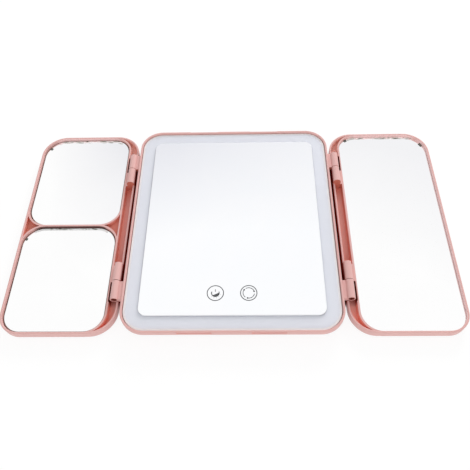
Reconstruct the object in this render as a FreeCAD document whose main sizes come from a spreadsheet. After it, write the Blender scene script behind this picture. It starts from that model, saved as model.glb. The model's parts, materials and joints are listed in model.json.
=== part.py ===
# Lighted folding makeup mirror: a thick lit centre panel with a hinged wing on each side, lying open.
# Millimetres. +Z up, X across the three panels, Y from the near edge to the far edge.
# The origin is on the table under the middle.

import FreeCAD
import Part
import Sketcher

import math
import os
import re

doc = FreeCAD.newDocument("FoldingMirror")
sheet = doc.addObject("Spreadsheet::Sheet", "Sizes")

# Driving sizes: the alias, its value and what it measures.
SIZES = [
    ("centre_width", 161.0, "centre panel across X"),
    ("centre_height", 188.0, "centre panel along Y"),
    ("centre_thickness", 12.6, "centre rim above the table"),
    ("centre_corner", 18.0, "corner radius of the centre panel"),
    ("wing_short", 1.0, "wing's ends inside the centre's ends"),
    ("fold_meet", 3.5, "folded wing's edge from the middle of the centre"),
    ("wing_drop", 4.2, "wing rim below the centre's rim"),
    ("wing_corner", 20.0, "corner radius of the wings"),
    ("front_corner", 16.0, "corner radius of a wing at its outer near corner"),
    ("wall", 1.6, "rim wall of all three panels"),
    ("rim_round", 0.5, "rounding of the rims' edges"),
    ("hinge_slot", 2.6, "gap between centre wall and wing wall"),
    ("hinge_inset", 2.9, "hinge axis inside the wing's edge"),
    ("fold_gap", 0.4, "gap between the rims when a wing is folded"),
    ("barrel_radius", 3.0, "hinge barrel"),
    ("knuckle_inset", 25.0, "outer end of a hinge from the wing's end"),
    ("knuckle_length", 15.0, "length of each knuckle"),
    ("knuckle_gap", 0.4, "end gap between two knuckles"),
    ("arm_drop", 1.4, "hinge arm below the centre's rim"),
    ("arm_clearance", 0.6, "gap from a hinge arm to the wing"),
    ("pin_radius", 1.25, "hinge pin"),
    ("pin_play", 0.05, "running gap round the pin"),
    ("pin_recess", 1.6, "pin end below the barrel's end"),
    ("pin_mouth", 2.1, "radius of the counterbore at the pin"),
    ("pin_stop", 2.0, "closed end of the wing knuckle's bore"),
    ("tray_floor", 2.0, "floor of a wing tray"),
    ("tray_round", 3.0, "rounding of a tray's back edge"),
    ("channel_width", 5.7, "open channel beside the hinge"),
    ("pocket_wall", 1.5, "wall round a wing mirror"),
    ("pocket_corner", 15.0, "mirror well corner by the hinge"),
    ("divider_corner", 16.5, "mirror well corner by the divider"),
    ("divider_place", -1.2, "middle of the divider along Y"),
    ("divider_rib", 1.2, "wall between the divider's pocket and the channel"),
    ("divider_depth", 2.8, "pockets beside the divider below the wells' walls"),
    ("well_step", 1.8, "floor of a mirror well above the tray's floor"),
    ("well_ledge", 8.0, "solid edge of a well's floor"),
    ("cell_rib", 3.0, "rib between the hollows of a well's floor"),
    ("glass_gap", 0.5, "gap round each glass plate"),
    ("wing_glass", 2.4, "glass of the wing mirrors"),
    ("wing_tape", 1.2, "foam tape under the wing mirrors"),
    ("tape_inset", 5.0, "tape edge inside the glass edge"),
    ("light_band", 13.0, "lit band from the panel's edge to the centre mirror"),
    ("mirror_corner", 6.0, "corner radius of the centre mirror"),
    ("mirror_glass", 1.2, "glass of the centre mirror"),
    ("mirror_tape", 0.2, "tape under the centre mirror"),
    ("mirror_drop", 0.1, "centre mirror below the rim"),
    ("diffuser_thickness", 2.2, "opal plate"),
    ("ledge_width", 3.0, "ledge under the diffuser's edge"),
    ("ledge_thickness", 1.0, "thickness of that ledge"),
    ("ledge_corner", 24.0, "corner radius of the ledge's opening"),
    ("scoop_middle", 26.3, "finger scoop from the middle"),
    ("scoop_width", 24.5, "finger scoop along the edge"),
    ("scoop_depth", 0.6, "finger scoop into the wall"),
    ("scoop_drop", 2.4, "finger scoop below the rim"),
    ("cover_inset", 2.0, "back cover inside the frame's outline"),
    ("cover_floor", 1.8, "floor of the back cover"),
    ("cover_wall", 2.6, "side wall of the back cover"),
    ("cover_round", 4.0, "rounding of the back cover"),
    ("shelf_drop", 1.9, "shelf for the lights below the cover's edge"),
    ("shelf_width", 2.0, "shelf along the cover's wall"),
    ("rib_thickness", 1.5, "rib under the lights"),
    ("rib_corner", 18.0, "corner radius of that rib"),
    ("boss_place", 10.7, "boss from the cover's edges"),
    ("boss_radius", 2.8, "screw boss of the frame"),
    ("boss_gap", 0.3, "gap round a boss"),
    ("boss_foot", 4.0, "lower end of a boss above the table"),
    ("screw_radius", 1.1, "cover screw"),
    ("screw_head", 2.2, "radius of a cover screw's head"),
    ("screw_head_height", 1.2, "height of that head"),
    ("screw_bite", 3.6, "cover screw's depth in the boss"),
    ("foot_radius", 4.0, "rubber foot"),
    ("foot_height", 0.8, "foot below the back cover"),
    ("foot_recess", 0.7, "foot inside the back cover"),
    ("foot_gap", 0.2, "gap round a foot"),
    ("sheet_thickness", 0.3, "white reflector sheet"),
    ("sheet_width", 13.0, "band of the reflector sheet"),
    ("sheet_corner", 6.0, "inner corner radius of that band"),
    ("strip_width", 8.0, "LED strip"),
    ("strip_thickness", 1.0, "LED strip board"),
    ("strip_inset", 5.5, "LED strip from the cover's outside"),
    ("strip_end", 20.0, "ends of an LED strip from the cover's outside"),
    ("chip_width", 2.8, "LED chip across its strip"),
    ("chip_length", 3.5, "LED chip along its strip"),
    ("chip_height", 0.7, "LED chip"),
    ("board_width", 60.0, "control board across X"),
    ("board_height", 24.0, "control board along Y"),
    ("board_thickness", 1.0, "circuit boards"),
    ("board_lift", 2.0, "control board above the cover's floor"),
    ("board_reach", 10.7, "control board past the touch marks"),
    ("post_radius", 2.4, "post under the control board"),
    ("post_inset", 3.2, "posts inside the board's edges"),
    ("tack_radius", 0.8, "board screw"),
    ("tack_head", 1.5, "radius of a board screw's head"),
    ("tack_head_height", 0.8, "height of that head"),
    ("tack_bite", 1.6, "board screw's depth in its post"),
    ("mark_spacing", 24.2, "between the two touch marks"),
    ("mark_inset", 17.2, "touch marks from the mirror's near edge"),
    ("mark_radius", 6.25, "ring of a touch mark"),
    ("mark_line", 0.75, "line of a touch mark"),
    ("mark_depth", 0.2, "depth of a touch mark in the glass"),
    ("sign_radius", 2.9, "power sign"),
    ("turn_radius", 3.9, "turning sign"),
    ("pad_radius", 3.0, "touch pad behind a mark"),
    ("pad_gap", 0.5, "gap round a touch pad"),
    ("battery_width", 50.0, "battery across X"),
    ("battery_length", 62.0, "battery along Y"),
    ("battery_thickness", 4.4, "battery"),
    ("battery_round", 1.4, "rounding of the battery"),
    ("battery_gap", 10.5, "from the control board to the battery"),
    ("foam_thickness", 0.4, "foam pad under the battery"),
    ("charge_width", 18.0, "charge board across X"),
    ("charge_depth", 14.0, "charge board along Y"),
    ("charge_thickness", 0.8, "charge board"),
    ("bay_gap", 0.5, "gap round the charge board"),
    ("bay_wall", 2.0, "wall outside the charge board"),
    ("socket_width", 7.6, "charging socket"),
    ("socket_height", 2.5, "charging socket"),
    ("socket_depth", 5.6, "charging socket"),
    ("socket_shell", 0.35, "sheet of the charging socket"),
    ("socket_corner", 0.8, "corner radius of the charging socket"),
    ("socket_gap", 0.3, "gap round the charging socket"),
    ("socket_sink", 0.6, "socket mouth inside the cover's outside"),
    ("tongue_thickness", 0.7, "contact tongue in the socket"),
    ("light_radius", 0.8, "charge light"),
    ("light_place", 6.6, "charge light from the middle"),
    ("lead_radius", 0.7, "insulated lead"),
    ("link_radius", 0.5, "thin link between strips"),
    ("lead_bend", 4.0, "largest bend radius of a lead"),
    ("overrun", 1.0, "length by which cuts pass the surface"),
]
NAMES = {name for name, value, note in SIZES}

for row, (name, value, note) in enumerate(SIZES, start=1):
    sheet.set(f"A{row}", name)
    sheet.set(f"B{row}", str(value))
    sheet.set(f"C{row}", note)
    sheet.setAlias(f"B{row}", name)
gauge = doc.addObject("Part::Vertex", "Gauge")
doc.recompute()


def formula(text):
    """The text with each size's name pointing at its cell."""

    def cell(match):
        word = match.group(0)
        return f"Sizes.{word}" if word in NAMES else word

    return re.sub(r"[a-z][a-z_]*", cell, text)


def bind(thing, prop, text):
    thing.setExpression(prop, formula(text))


def size(text):
    """The number that a formula gives, read off a measuring point."""
    bind(gauge, "X", text)
    gauge.recompute()
    return gauge.X.Value


# Heights and places that several pieces share, worked out from the sizes above.
DIFFUSER_TOP = "(centre_thickness - mirror_drop - mirror_glass - mirror_tape)"
LEDGE_TOP = f"({DIFFUSER_TOP} - diffuser_thickness)"
SPLIT = f"({LEDGE_TOP} - ledge_thickness)"
SHELF = f"({SPLIT} - shelf_drop)"
COVER_IN = "(foot_height + cover_floor)"
COVER_X = "(centre_width / 2 - cover_inset)"
COVER_Y = "(centre_height / 2 - cover_inset)"
BOSS_X = f"({COVER_X} - boss_place)"
BOSS_Y = f"({COVER_Y} - boss_place)"
AXIS_X = "(centre_width / 2 + hinge_slot + hinge_inset)"
WING_TOP = "(centre_thickness - wing_drop)"
AXIS_Z = f"((centre_thickness + {WING_TOP} + fold_gap) / 2)"
ARM_LOW = f"({AXIS_Z} - barrel_radius)"
WING_NEAR = "(centre_width / 2 + hinge_slot)"
WING_FAR = f"(2 * {AXIS_X} - fold_meet)"
WING_END = "(centre_height / 2 - wing_short)"
KNUCKLE_END = f"({WING_END} - knuckle_inset)"
KNUCKLE_MEET = f"({KNUCKLE_END} - knuckle_length)"
KNUCKLE_START = f"({KNUCKLE_MEET} - knuckle_length)"
POCKET_NEAR = f"({WING_NEAR} + wall + channel_width + pocket_wall)"
POCKET_FAR = f"({WING_FAR} - wall)"
POCKET_END = f"({WING_END} - wall)"
STRIP_LOW = f"({SHELF} + sheet_thickness)"
STRIP_TOP = f"({STRIP_LOW} + strip_thickness)"
SIDE_STRIP_HALF = f"({COVER_Y} - strip_end)"
END_STRIP_HALF = f"({COVER_X} - strip_end)"
MARK_PLACE = "(centre_height / 2 - light_band - mark_inset)"
BOARD_LOW = f"({COVER_IN} + board_lift)"
BOARD_TOP = f"({BOARD_LOW} + board_thickness)"
BOARD_FRONT = f"(-({MARK_PLACE} + board_reach))"
BOARD_BACK = f"({BOARD_FRONT} + board_height)"
BAY_END = f"({COVER_Y} - bay_wall)"
CHARGE_TOP = f"({COVER_IN} + charge_thickness)"
CORNERS = [(across, along) for across in (-1, 1) for along in (-1, 1)]


def times(sign, text):
    return f"({sign} * ({text}))"


def span(sign, near, far):
    """Low and high ends of a stretch that runs from near to far on one side of the middle."""
    ends = (times(sign, near), times(sign, far))
    return ends if sign > 0 else ends[::-1]


UP = FreeCAD.Vector(0, 0, 1)
SAME_HEIGHT = 1e-6


# Outlines, drawn into a sketch with its sizes bound to the sheet.
def point(x, y):
    return FreeCAD.Vector(x, y, 0)


def fix(sketch, constraint, name, text):
    index = sketch.addConstraint(constraint)
    label = f"{name}_{index}"
    sketch.renameConstraint(index, label)
    bind(sketch, "Constraints." + label, text)


def place_sides(sketch, front, right, back, left, places):
    """Ties four sides of a rectangle to their places, in the order left, right, front, back."""
    for line in (front, back):
        sketch.addConstraint(Sketcher.Constraint("Horizontal", line))
    for line in (right, left):
        sketch.addConstraint(Sketcher.Constraint("Vertical", line))
    for name, kind, line, text in zip(
        ("left", "right", "front", "back"),
        ("DistanceX", "DistanceX", "DistanceY", "DistanceY"),
        (left, right, front, back),
        places,
    ):
        fix(sketch, Sketcher.Constraint(kind, -1, 1, line, 1, size(text)), name, text)


def block(left, right, front, back):
    """A rectangle with sharp corners."""

    def draw(sketch):
        x0, x1, y0, y1 = (size(text) for text in (left, right, front, back))
        corners = [point(x0, y0), point(x1, y0), point(x1, y1), point(x0, y1)]
        first = sketch.GeometryCount
        for start, end in zip(corners, corners[1:] + corners[:1]):
            sketch.addGeometry(Part.LineSegment(start, end))
        sides = [first + i for i in range(len(corners))]
        for side, following in zip(sides, sides[1:] + sides[:1]):
            sketch.addConstraint(Sketcher.Constraint("Coincident", side, 2, following, 1))
        place_sides(sketch, *sides, (left, right, front, back))

    return draw


def slab(left, right, front, back, *radii):
    """A rectangle with round corners: one radius, or four from the near left corner anticlockwise."""
    texts = radii if len(radii) == 4 else radii * 4

    def draw(sketch):
        x0, x1, y0, y1 = (size(text) for text in (left, right, front, back))
        r = [size(text) for text in texts]
        centres = [
            point(x0 + r[0], y0 + r[0]),
            point(x1 - r[1], y0 + r[1]),
            point(x1 - r[2], y1 - r[2]),
            point(x0 + r[3], y1 - r[3]),
        ]
        first = sketch.GeometryCount
        arcs = []
        for corner, centre in enumerate(centres):
            start = math.pi + corner * math.pi / 2
            circle = Part.Circle(centre, UP, r[corner])
            arcs.append(Part.ArcOfCircle(circle, start, start + math.pi / 2))
        for arc, following in zip(arcs, arcs[1:] + arcs[:1]):
            sketch.addGeometry(arc)
            sketch.addGeometry(Part.LineSegment(arc.EndPoint, following.StartPoint))
        count = 2 * len(arcs)
        for i in range(count):
            sketch.addConstraint(Sketcher.Constraint("Tangent", first + i, 2, first + (i + 1) % count, 1))
        place_sides(sketch, first + 1, first + 3, first + 5, first + 7, (left, right, front, back))
        for corner, text in enumerate(texts):
            fix(sketch, Sketcher.Constraint("Radius", first + 2 * corner, r[corner]), "corner", text)

    return draw


def disc(x, y, radius):
    def draw(sketch):
        centre = point(size(x), size(y))
        circle = sketch.addGeometry(Part.Circle(centre, UP, size(radius)))
        fix(sketch, Sketcher.Constraint("DistanceX", -1, 1, circle, 3, centre.x), "across", x)
        fix(sketch, Sketcher.Constraint("DistanceY", -1, 1, circle, 3, centre.y), "along", y)
        fix(sketch, Sketcher.Constraint("Radius", circle, size(radius)), "radius", radius)

    return draw


# Pieces made as bodies: each feature is an outline and the two heights, or depths, that it runs between.
def new_body(label):
    body = doc.addObject("PartDesign::Body", label)
    body.Label = label
    return body


def new_sketch(body, role, offset, outlines):
    sketch = body.newObject("Sketcher::SketchObject", body.Label + "_outline")
    plane = next(item for item in body.Origin.OriginFeatures if item.Role == role)
    sketch.AttachmentSupport = [(plane, "")]
    sketch.MapMode = "FlatFace"
    bind(sketch, "AttachmentOffset.Base.z", offset)
    for draw in outlines:
        draw(sketch)
    return sketch


def volume(body):
    doc.recompute()
    return 0.0 if body.Shape.isNull() else body.Shape.Volume


def feature(body, kind, role, offset, low, high, outlines):
    before = volume(body)
    sketch = new_sketch(body, role, offset, outlines)
    step = body.newObject(kind, body.Label + "_step")
    step.Profile = sketch
    bind(step, "Length", f"({high}) - ({low})")
    change = volume(body) - before
    if (change <= 0) == (kind == "PartDesign::Pad"):
        raise ValueError(f"{body.Label}: {step.Name} changes the volume by {change:.3f}")


def add(body, low, high, *outlines):
    """Material between two heights."""
    feature(body, "PartDesign::Pad", "XY_Plane", low, low, high, outlines)


def cut(body, low, high, *outlines):
    """An opening between two heights."""
    feature(body, "PartDesign::Pocket", "XY_Plane", high, low, high, outlines)


def add_along(body, low, high, *outlines):
    """Material between two places along Y, from an outline in X and Z."""
    feature(body, "PartDesign::Pad", "XZ_Plane", f"-({high})", low, high, outlines)


def cut_along(body, low, high, *outlines):
    """An opening between two places along Y, from an outline in X and Z."""
    feature(body, "PartDesign::Pocket", "XZ_Plane", f"-({low})", low, high, outlines)


def soften(body, radius, chosen):
    """Rounds the edges of the last feature for which chosen(edge) holds."""
    doc.recompute()
    base = body.Tip
    names = [f"Edge{i}" for i, edge in enumerate(base.Shape.Edges, start=1) if chosen(edge)]
    rounding = body.newObject("PartDesign::Fillet", body.Label + "_round")
    rounding.Base = (base, names)
    bind(rounding, "Radius", radius)
    doc.recompute()


def level(*heights):
    """Picks the edges that lie wholly at one of the heights."""
    levels = [size(height) for height in heights]

    def chosen(edge):
        box = edge.BoundBox
        return any(max(abs(box.ZMin - z), abs(box.ZMax - z)) < SAME_HEIGHT for z in levels)

    return chosen


# Pieces made from primitives.
def set_place(thing, x, y, z):
    for axis, text in zip("xyz", (x, y, z)):
        bind(thing, "Placement.Base." + axis, text)


def brick(label, left, right, front, back, low, high):
    box = doc.addObject("Part::Box", label)
    bind(box, "Length", f"({right}) - ({left})")
    bind(box, "Width", f"({back}) - ({front})")
    bind(box, "Height", f"({high}) - ({low})")
    set_place(box, left, front, low)
    return box


def rod(label, x, y, low, high, radius):
    cylinder = doc.addObject("Part::Cylinder", label)
    bind(cylinder, "Radius", radius)
    bind(cylinder, "Height", f"({high}) - ({low})")
    set_place(cylinder, x, y, low)
    return cylinder


def rod_along(label, x, z, low, high, radius):
    """A cylinder along Y from low to high."""
    cylinder = doc.addObject("Part::Cylinder", label)
    cylinder.Placement.Rotation = FreeCAD.Rotation(UP, FreeCAD.Vector(0, 1, 0))
    bind(cylinder, "Radius", radius)
    bind(cylinder, "Height", f"({high}) - ({low})")
    set_place(cylinder, x, low, z)
    return cylinder


def joined(label, *things):
    fuse = doc.addObject("Part::MultiFuse", label)
    fuse.Shapes = list(things)
    return fuse


def group(label, things):
    """Several loose solids under one name."""
    compound = doc.addObject("Part::Compound", label)
    compound.Links = list(things)
    return compound


LEAD_REACH_SHARE = 0.45
LEAD_VOLUME_SHARE = 0.01


def lead_shape(points, radius):
    """A round lead through points: straight runs joined by arcs."""
    edges = []
    start = points[0]
    for before, corner, after in zip(points, points[1:], points[2:]):
        into = (corner - before).normalize()
        out = (after - corner).normalize()
        half = into.getAngle(out) / 2
        shorter = min((corner - before).Length, (after - corner).Length)
        reach = min(size("lead_bend") * math.tan(half), shorter * LEAD_REACH_SHARE)
        first = corner - into * reach
        last = corner + out * reach
        bow = (out - into).normalize() * (reach / math.tan(half)) * (1 / math.cos(half) - 1)
        edges.append(Part.LineSegment(start, first).toShape())
        edges.append(Part.Arc(first, corner + bow, last).toShape())
        start = last
    edges.append(Part.LineSegment(start, points[-1]).toShape())
    path = Part.Wire(edges)
    ring = Part.Wire(Part.Circle(points[0], points[1] - points[0], radius).toShape())
    tube = path.makePipeShell([ring], True, False)
    if not math.isclose(tube.Volume, math.pi * radius**2 * path.Length, rel_tol=LEAD_VOLUME_SHARE):
        raise ValueError("a lead's tube isn't as large as its section times its length")
    return tube


def at(x, y, z):
    return FreeCAD.Vector(size(x), size(y), size(z))


def shaped(label, shape):
    piece = doc.addObject("Part::Feature", label)
    piece.Shape = shape
    return piece


# Centre frame: rim wall, ledge for the diffuser, screw bosses, hinge arms and knuckles, finger scoops.
def centre_outline(inset, radius):
    half_x = f"centre_width / 2 - ({inset})"
    half_y = f"centre_height / 2 - ({inset})"
    return slab(f"-({half_x})", half_x, f"-({half_y})", half_y, radius)


frame = new_body("centre_frame")
add(frame, SPLIT, "centre_thickness", centre_outline("0", "centre_corner"))
cut(frame, LEDGE_TOP, "centre_thickness", centre_outline("wall", "centre_corner - wall"))
soften(frame, "rim_round", level(SPLIT, "centre_thickness"))
cut(frame, SPLIT, LEDGE_TOP, centre_outline("wall + ledge_width", "ledge_corner"))
bosses = [disc(times(i, BOSS_X), times(j, BOSS_Y), "boss_radius") for i, j in CORNERS]
add(frame, "boss_foot", LEDGE_TOP, *bosses)
pilots = [disc(times(i, BOSS_X), times(j, BOSS_Y), "screw_radius") for i, j in CORNERS]
cut(frame, "boss_foot", "boss_foot + screw_bite", *pilots)
for side, end in CORNERS:
    root, tip = span(side, "centre_width / 2 - wall / 2", AXIS_X)
    low, high = span(end, f"{KNUCKLE_MEET} + knuckle_gap / 2", KNUCKLE_END)
    mouth_low, mouth_high = span(end, f"{KNUCKLE_END} - pin_recess", KNUCKLE_END)
    add(frame, ARM_LOW, "centre_thickness - arm_drop", block(root, tip, low, high))
    add_along(frame, low, high, disc(times(side, AXIS_X), AXIS_Z, "barrel_radius"))
    cut_along(frame, low, high, disc(times(side, AXIS_X), AXIS_Z, "pin_radius"))
    cut_along(frame, mouth_low, mouth_high, disc(times(side, AXIS_X), AXIS_Z, "pin_mouth"))
    left, right = span(side, "scoop_middle - scoop_width / 2", "scoop_middle + scoop_width / 2")
    front, back = span(end, "centre_height / 2 - scoop_depth", "centre_height / 2 + scoop_depth + overrun")
    scoop = slab(left, right, front, back, "scoop_depth")
    cut(frame, "centre_thickness - scoop_drop", "centre_thickness + overrun", scoop)

# Back cover: rounded dish with a shelf for the lights, a well for the electronics and a bay for the socket.
cover = new_body("back_cover")
add(cover, "foot_height", SPLIT, centre_outline("cover_inset", "centre_corner - cover_inset"))
soften(cover, "cover_round", level("foot_height"))
shelf = centre_outline("cover_inset + cover_wall", "centre_corner - cover_inset - cover_wall")
cut(cover, SHELF, SPLIT, shelf)
WELL = "cover_inset + cover_wall + shelf_width"
cut(cover, COVER_IN, SHELF, centre_outline(WELL, f"centre_corner - ({WELL})"))
seats = [disc(times(i, BOSS_X), times(j, BOSS_Y), "boss_radius + cover_floor") for i, j in CORNERS]
add(cover, COVER_IN, "boss_foot", *seats)
RIB = "cover_inset + strip_inset + strip_width / 2"
add(
    cover,
    COVER_IN,
    SHELF,
    centre_outline(f"{RIB} - rib_thickness / 2", "rib_corner + rib_thickness / 2"),
    centre_outline(f"{RIB} + rib_thickness / 2", "rib_corner - rib_thickness / 2"),
)
for radius, low, high in (
    ("foot_radius + foot_gap", "foot_height", "foot_height + foot_recess"),
    ("screw_head + foot_gap", "foot_height", "foot_height + foot_recess + screw_head_height"),
    ("screw_radius", "foot_height", "boss_foot"),
):
    cut(cover, low, high, *[disc(times(i, BOSS_X), times(j, BOSS_Y), radius) for i, j in CORNERS])
POSTS = [
    (times(i, "board_width / 2 - post_inset"), f"{BOARD_FRONT} + {place}")
    for i in (-1, 1)
    for place in ("post_inset", "board_height - post_inset")
]
add(cover, COVER_IN, BOARD_LOW, *[disc(x, y, "post_radius") for x, y in POSTS])
cut(cover, f"{BOARD_LOW} - tack_bite", BOARD_LOW, *[disc(x, y, "tack_radius") for x, y in POSTS])
bay_half = "charge_width / 2 + bay_gap"
bay = block(f"-({bay_half})", bay_half, f"{BAY_END} - charge_depth - 2 * bay_gap", BAY_END)
cut(cover, COVER_IN, SHELF, bay)
mouth_half = "socket_width / 2 + socket_gap"
mouth = slab(
    f"-({mouth_half})",
    mouth_half,
    f"{CHARGE_TOP} - socket_gap",
    f"{CHARGE_TOP} + socket_height + socket_gap",
    "socket_corner + socket_gap",
)
LIGHT_Z = f"({CHARGE_TOP} + socket_height / 2)"
cut_along(cover, f"{BAY_END} - overrun", f"{COVER_Y} + overrun", mouth)
cut_along(cover, f"{BAY_END} - overrun", f"{COVER_Y} + overrun", disc("light_place", LIGHT_Z, "light_radius"))

# Diffuser, tape and mirror are plates with openings for the two touch pads.
MARKS = [(times(i, "mark_spacing / 2"), f"-{MARK_PLACE}") for i in (-1, 1)]


def pad_openings():
    return [disc(x, y, "pad_radius + pad_gap") for x, y in MARKS]


diffuser = new_body("light_diffuser")
add(diffuser, LEDGE_TOP, DIFFUSER_TOP, centre_outline("wall + glass_gap", "centre_corner - wall - glass_gap"))
cut(diffuser, LEDGE_TOP, DIFFUSER_TOP, *pad_openings())


def mirror_outline(inset, radius):
    return centre_outline(f"light_band + {inset}", radius)


tape = new_body("centre_mirror_tape")
add(tape, DIFFUSER_TOP, f"{DIFFUSER_TOP} + mirror_tape", mirror_outline("tape_inset", "mirror_corner"))
cut(tape, DIFFUSER_TOP, f"{DIFFUSER_TOP} + mirror_tape", *pad_openings())

MIRROR_LOW = f"({DIFFUSER_TOP} + mirror_tape)"
MIRROR_TOP = f"({MIRROR_LOW} + mirror_glass)"
plate = new_body("mirror_plate")
add(plate, MIRROR_LOW, MIRROR_TOP, mirror_outline("0", "mirror_corner"))


# Touch marks: inlays in the face of the mirror, each a ring round a sign made of arcs and strokes.
def arc_band(label, x, y, outer, line, start, sweep):
    """Part of a ring, from start degrees over sweep degrees."""
    low = f"{MIRROR_TOP} - mark_depth"
    whole = rod(label + "_outer", x, y, low, MIRROR_TOP, outer)
    whole.Angle = sweep
    whole.Placement.Rotation = FreeCAD.Rotation(UP, start)
    hole = rod(label + "_inner", x, y, low, MIRROR_TOP, f"({outer}) - ({line})")
    band = doc.addObject("Part::Cut", label)
    band.Base = whole
    band.Tool = hole
    return band


FULL_TURN = 360
POWER_START = 120
POWER_SWEEP = 300
TURN_STARTS = (10, 130, 250)
TURN_SWEEP = 92
HEAD_SHARE = 1.7

power_x, mark_y = MARKS[0]
tick = brick(
    "power_tick",
    f"{power_x} - mark_line / 2",
    f"{power_x} + mark_line / 2",
    f"{mark_y} + sign_radius / 3",
    f"{mark_y} + sign_radius + mark_line",
    f"{MIRROR_TOP} - mark_depth",
    MIRROR_TOP,
)
power_mark = group(
    "power_mark",
    [
        arc_band("power_ring", power_x, mark_y, "mark_radius", "mark_line", 0, FULL_TURN),
        arc_band("power_arc", power_x, mark_y, "sign_radius", "mark_line", POWER_START, POWER_SWEEP),
        tick,
    ],
)

turn_x = MARKS[1][0]
turn_pieces = [arc_band("turn_ring", turn_x, mark_y, "mark_radius", "mark_line", 0, FULL_TURN)]
for number, start in enumerate(TURN_STARTS, start=1):
    band = arc_band(f"turn_arc_{number}", turn_x, mark_y, "turn_radius", "mark_line", start, TURN_SWEEP)
    turn = math.radians(start)
    middle = "(turn_radius - mark_line / 2)"
    head = rod(
        f"turn_head_{number}",
        f"{turn_x} + {middle} * {math.cos(turn)}",
        f"{mark_y} + {middle} * {math.sin(turn)}",
        f"{MIRROR_TOP} - mark_depth",
        MIRROR_TOP,
        f"mark_line / 2 * {HEAD_SHARE}",
    )
    turn_pieces.append(joined(f"turn_stroke_{number}", band, head))
colour_mark = group("colour_mark", turn_pieces)

inlays = joined("mark_inlays", power_mark, colour_mark)
mirror = doc.addObject("Part::Cut", "centre_mirror")
mirror.Base = plate
mirror.Tool = inlays

# Light: a white sheet on the shelf, four LED strips on it, their chips and the links from strip to strip.
SHEET_EDGE = "cover_inset + cover_wall + glass_gap"
reflector = new_body("reflector_sheet")
add(
    reflector,
    SHELF,
    STRIP_LOW,
    centre_outline(SHEET_EDGE, f"centre_corner - ({SHEET_EDGE})"),
    centre_outline(f"{SHEET_EDGE} + sheet_width", "sheet_corner"),
    *[disc(times(i, BOSS_X), times(j, BOSS_Y), "boss_radius + boss_gap") for i, j in CORNERS],
)

STRIP_FAR_X = f"({COVER_X} - strip_inset)"
STRIP_FAR_Y = f"({COVER_Y} - strip_inset)"
for name, side in (("left", -1), ("right", 1)):
    left, right = span(side, f"{STRIP_FAR_X} - strip_width", STRIP_FAR_X)
    brick(f"led_strip_{name}", left, right, f"-{SIDE_STRIP_HALF}", SIDE_STRIP_HALF, STRIP_LOW, STRIP_TOP)
for name, end in (("near", -1), ("far", 1)):
    front, back = span(end, f"{STRIP_FAR_Y} - strip_width", STRIP_FAR_Y)
    brick(f"led_strip_{name}", f"-{END_STRIP_HALF}", END_STRIP_HALF, front, back, STRIP_LOW, STRIP_TOP)

SIDE_CHIPS = 10
END_CHIPS = 8
chips = []


def chip(x, y, across, along):
    chips.append(
        brick(
            f"led_chip_{len(chips)}",
            f"{x} - {across} / 2",
            f"{x} + {across} / 2",
            f"{y} - {along} / 2",
            f"{y} + {along} / 2",
            STRIP_TOP,
            f"{STRIP_TOP} + chip_height",
        )
    )


for side in (-1, 1):
    for number in range(SIDE_CHIPS):
        step = (2 * number + 1) / SIDE_CHIPS - 1
        x = times(side, f"{STRIP_FAR_X} - strip_width / 2")
        chip(x, times(step, SIDE_STRIP_HALF), "chip_width", "chip_length")
    for number in range(END_CHIPS):
        step = (2 * number + 1) / END_CHIPS - 1
        y = times(side, f"{STRIP_FAR_Y} - strip_width / 2")
        chip(times(step, END_STRIP_HALF), y, "chip_length", "chip_width")
group("led_chips", chips)

links = []
for side, end in CORNERS:
    height = f"{STRIP_LOW} + link_radius"
    side_x = times(side, f"{STRIP_FAR_X} - strip_width + 2 * link_radius")
    end_y = times(end, f"{STRIP_FAR_Y} - strip_width + 2 * link_radius")
    links.append(
        lead_shape(
            [
                at(side_x, times(end, SIDE_STRIP_HALF), height),
                at(side_x, times(end, f"{SIDE_STRIP_HALF} + 2 * link_radius"), height),
                at(times(side, f"{END_STRIP_HALF} + 2 * link_radius"), end_y, height),
                at(times(side, END_STRIP_HALF), end_y, height),
            ],
            size("link_radius"),
        )
    )
shaped("strip_links", Part.makeCompound(links))

# Control board on its posts, with its screws, chips and the two touch pads that reach up to the glass.
board = new_body("control_board")
add(
    board,
    BOARD_LOW,
    BOARD_TOP,
    block("-board_width / 2", "board_width / 2", BOARD_FRONT, BOARD_BACK),
    *[disc(x, y, "tack_radius") for x, y in POSTS],
)
tacks = []
for number, (x, y) in enumerate(POSTS):
    shank = rod(f"tack_shank_{number}", x, y, f"{BOARD_LOW} - tack_bite", BOARD_TOP, "tack_radius")
    head = rod(f"tack_head_{number}", x, y, BOARD_TOP, f"{BOARD_TOP} + tack_head_height", "tack_head")
    tacks.append(joined(f"tack_{number}", shank, head))
group("board_screws", tacks)

# Parts on the control board: place and size as shares of the board, height as a share of its thickness.
PART_SHARES = [
    (0.0, 0.10, 0.13, 0.30, 1.2),
    (0.30, 0.06, 0.08, 0.20, 1.0),
    (-0.32, 0.10, 0.09, 0.24, 2.0),
    (0.0, -0.30, 0.10, 0.12, 1.4),
]
board_middle = f"({BOARD_FRONT} + board_height / 2)"
parts = []
for number, (across, along, width, depth, height) in enumerate(PART_SHARES):
    parts.append(
        brick(
            f"board_part_{number}",
            f"{across - width / 2} * board_width",
            f"{across + width / 2} * board_width",
            f"{board_middle} + {along - depth / 2} * board_height",
            f"{board_middle} + {along + depth / 2} * board_height",
            BOARD_TOP,
            f"{BOARD_TOP} + {height} * board_thickness",
        )
    )
group("control_chips", parts)
pads = [rod(f"touch_pad_{i}", x, y, BOARD_TOP, MIRROR_LOW, "pad_radius") for i, (x, y) in enumerate(MARKS)]
group("touch_pads", pads)

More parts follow.
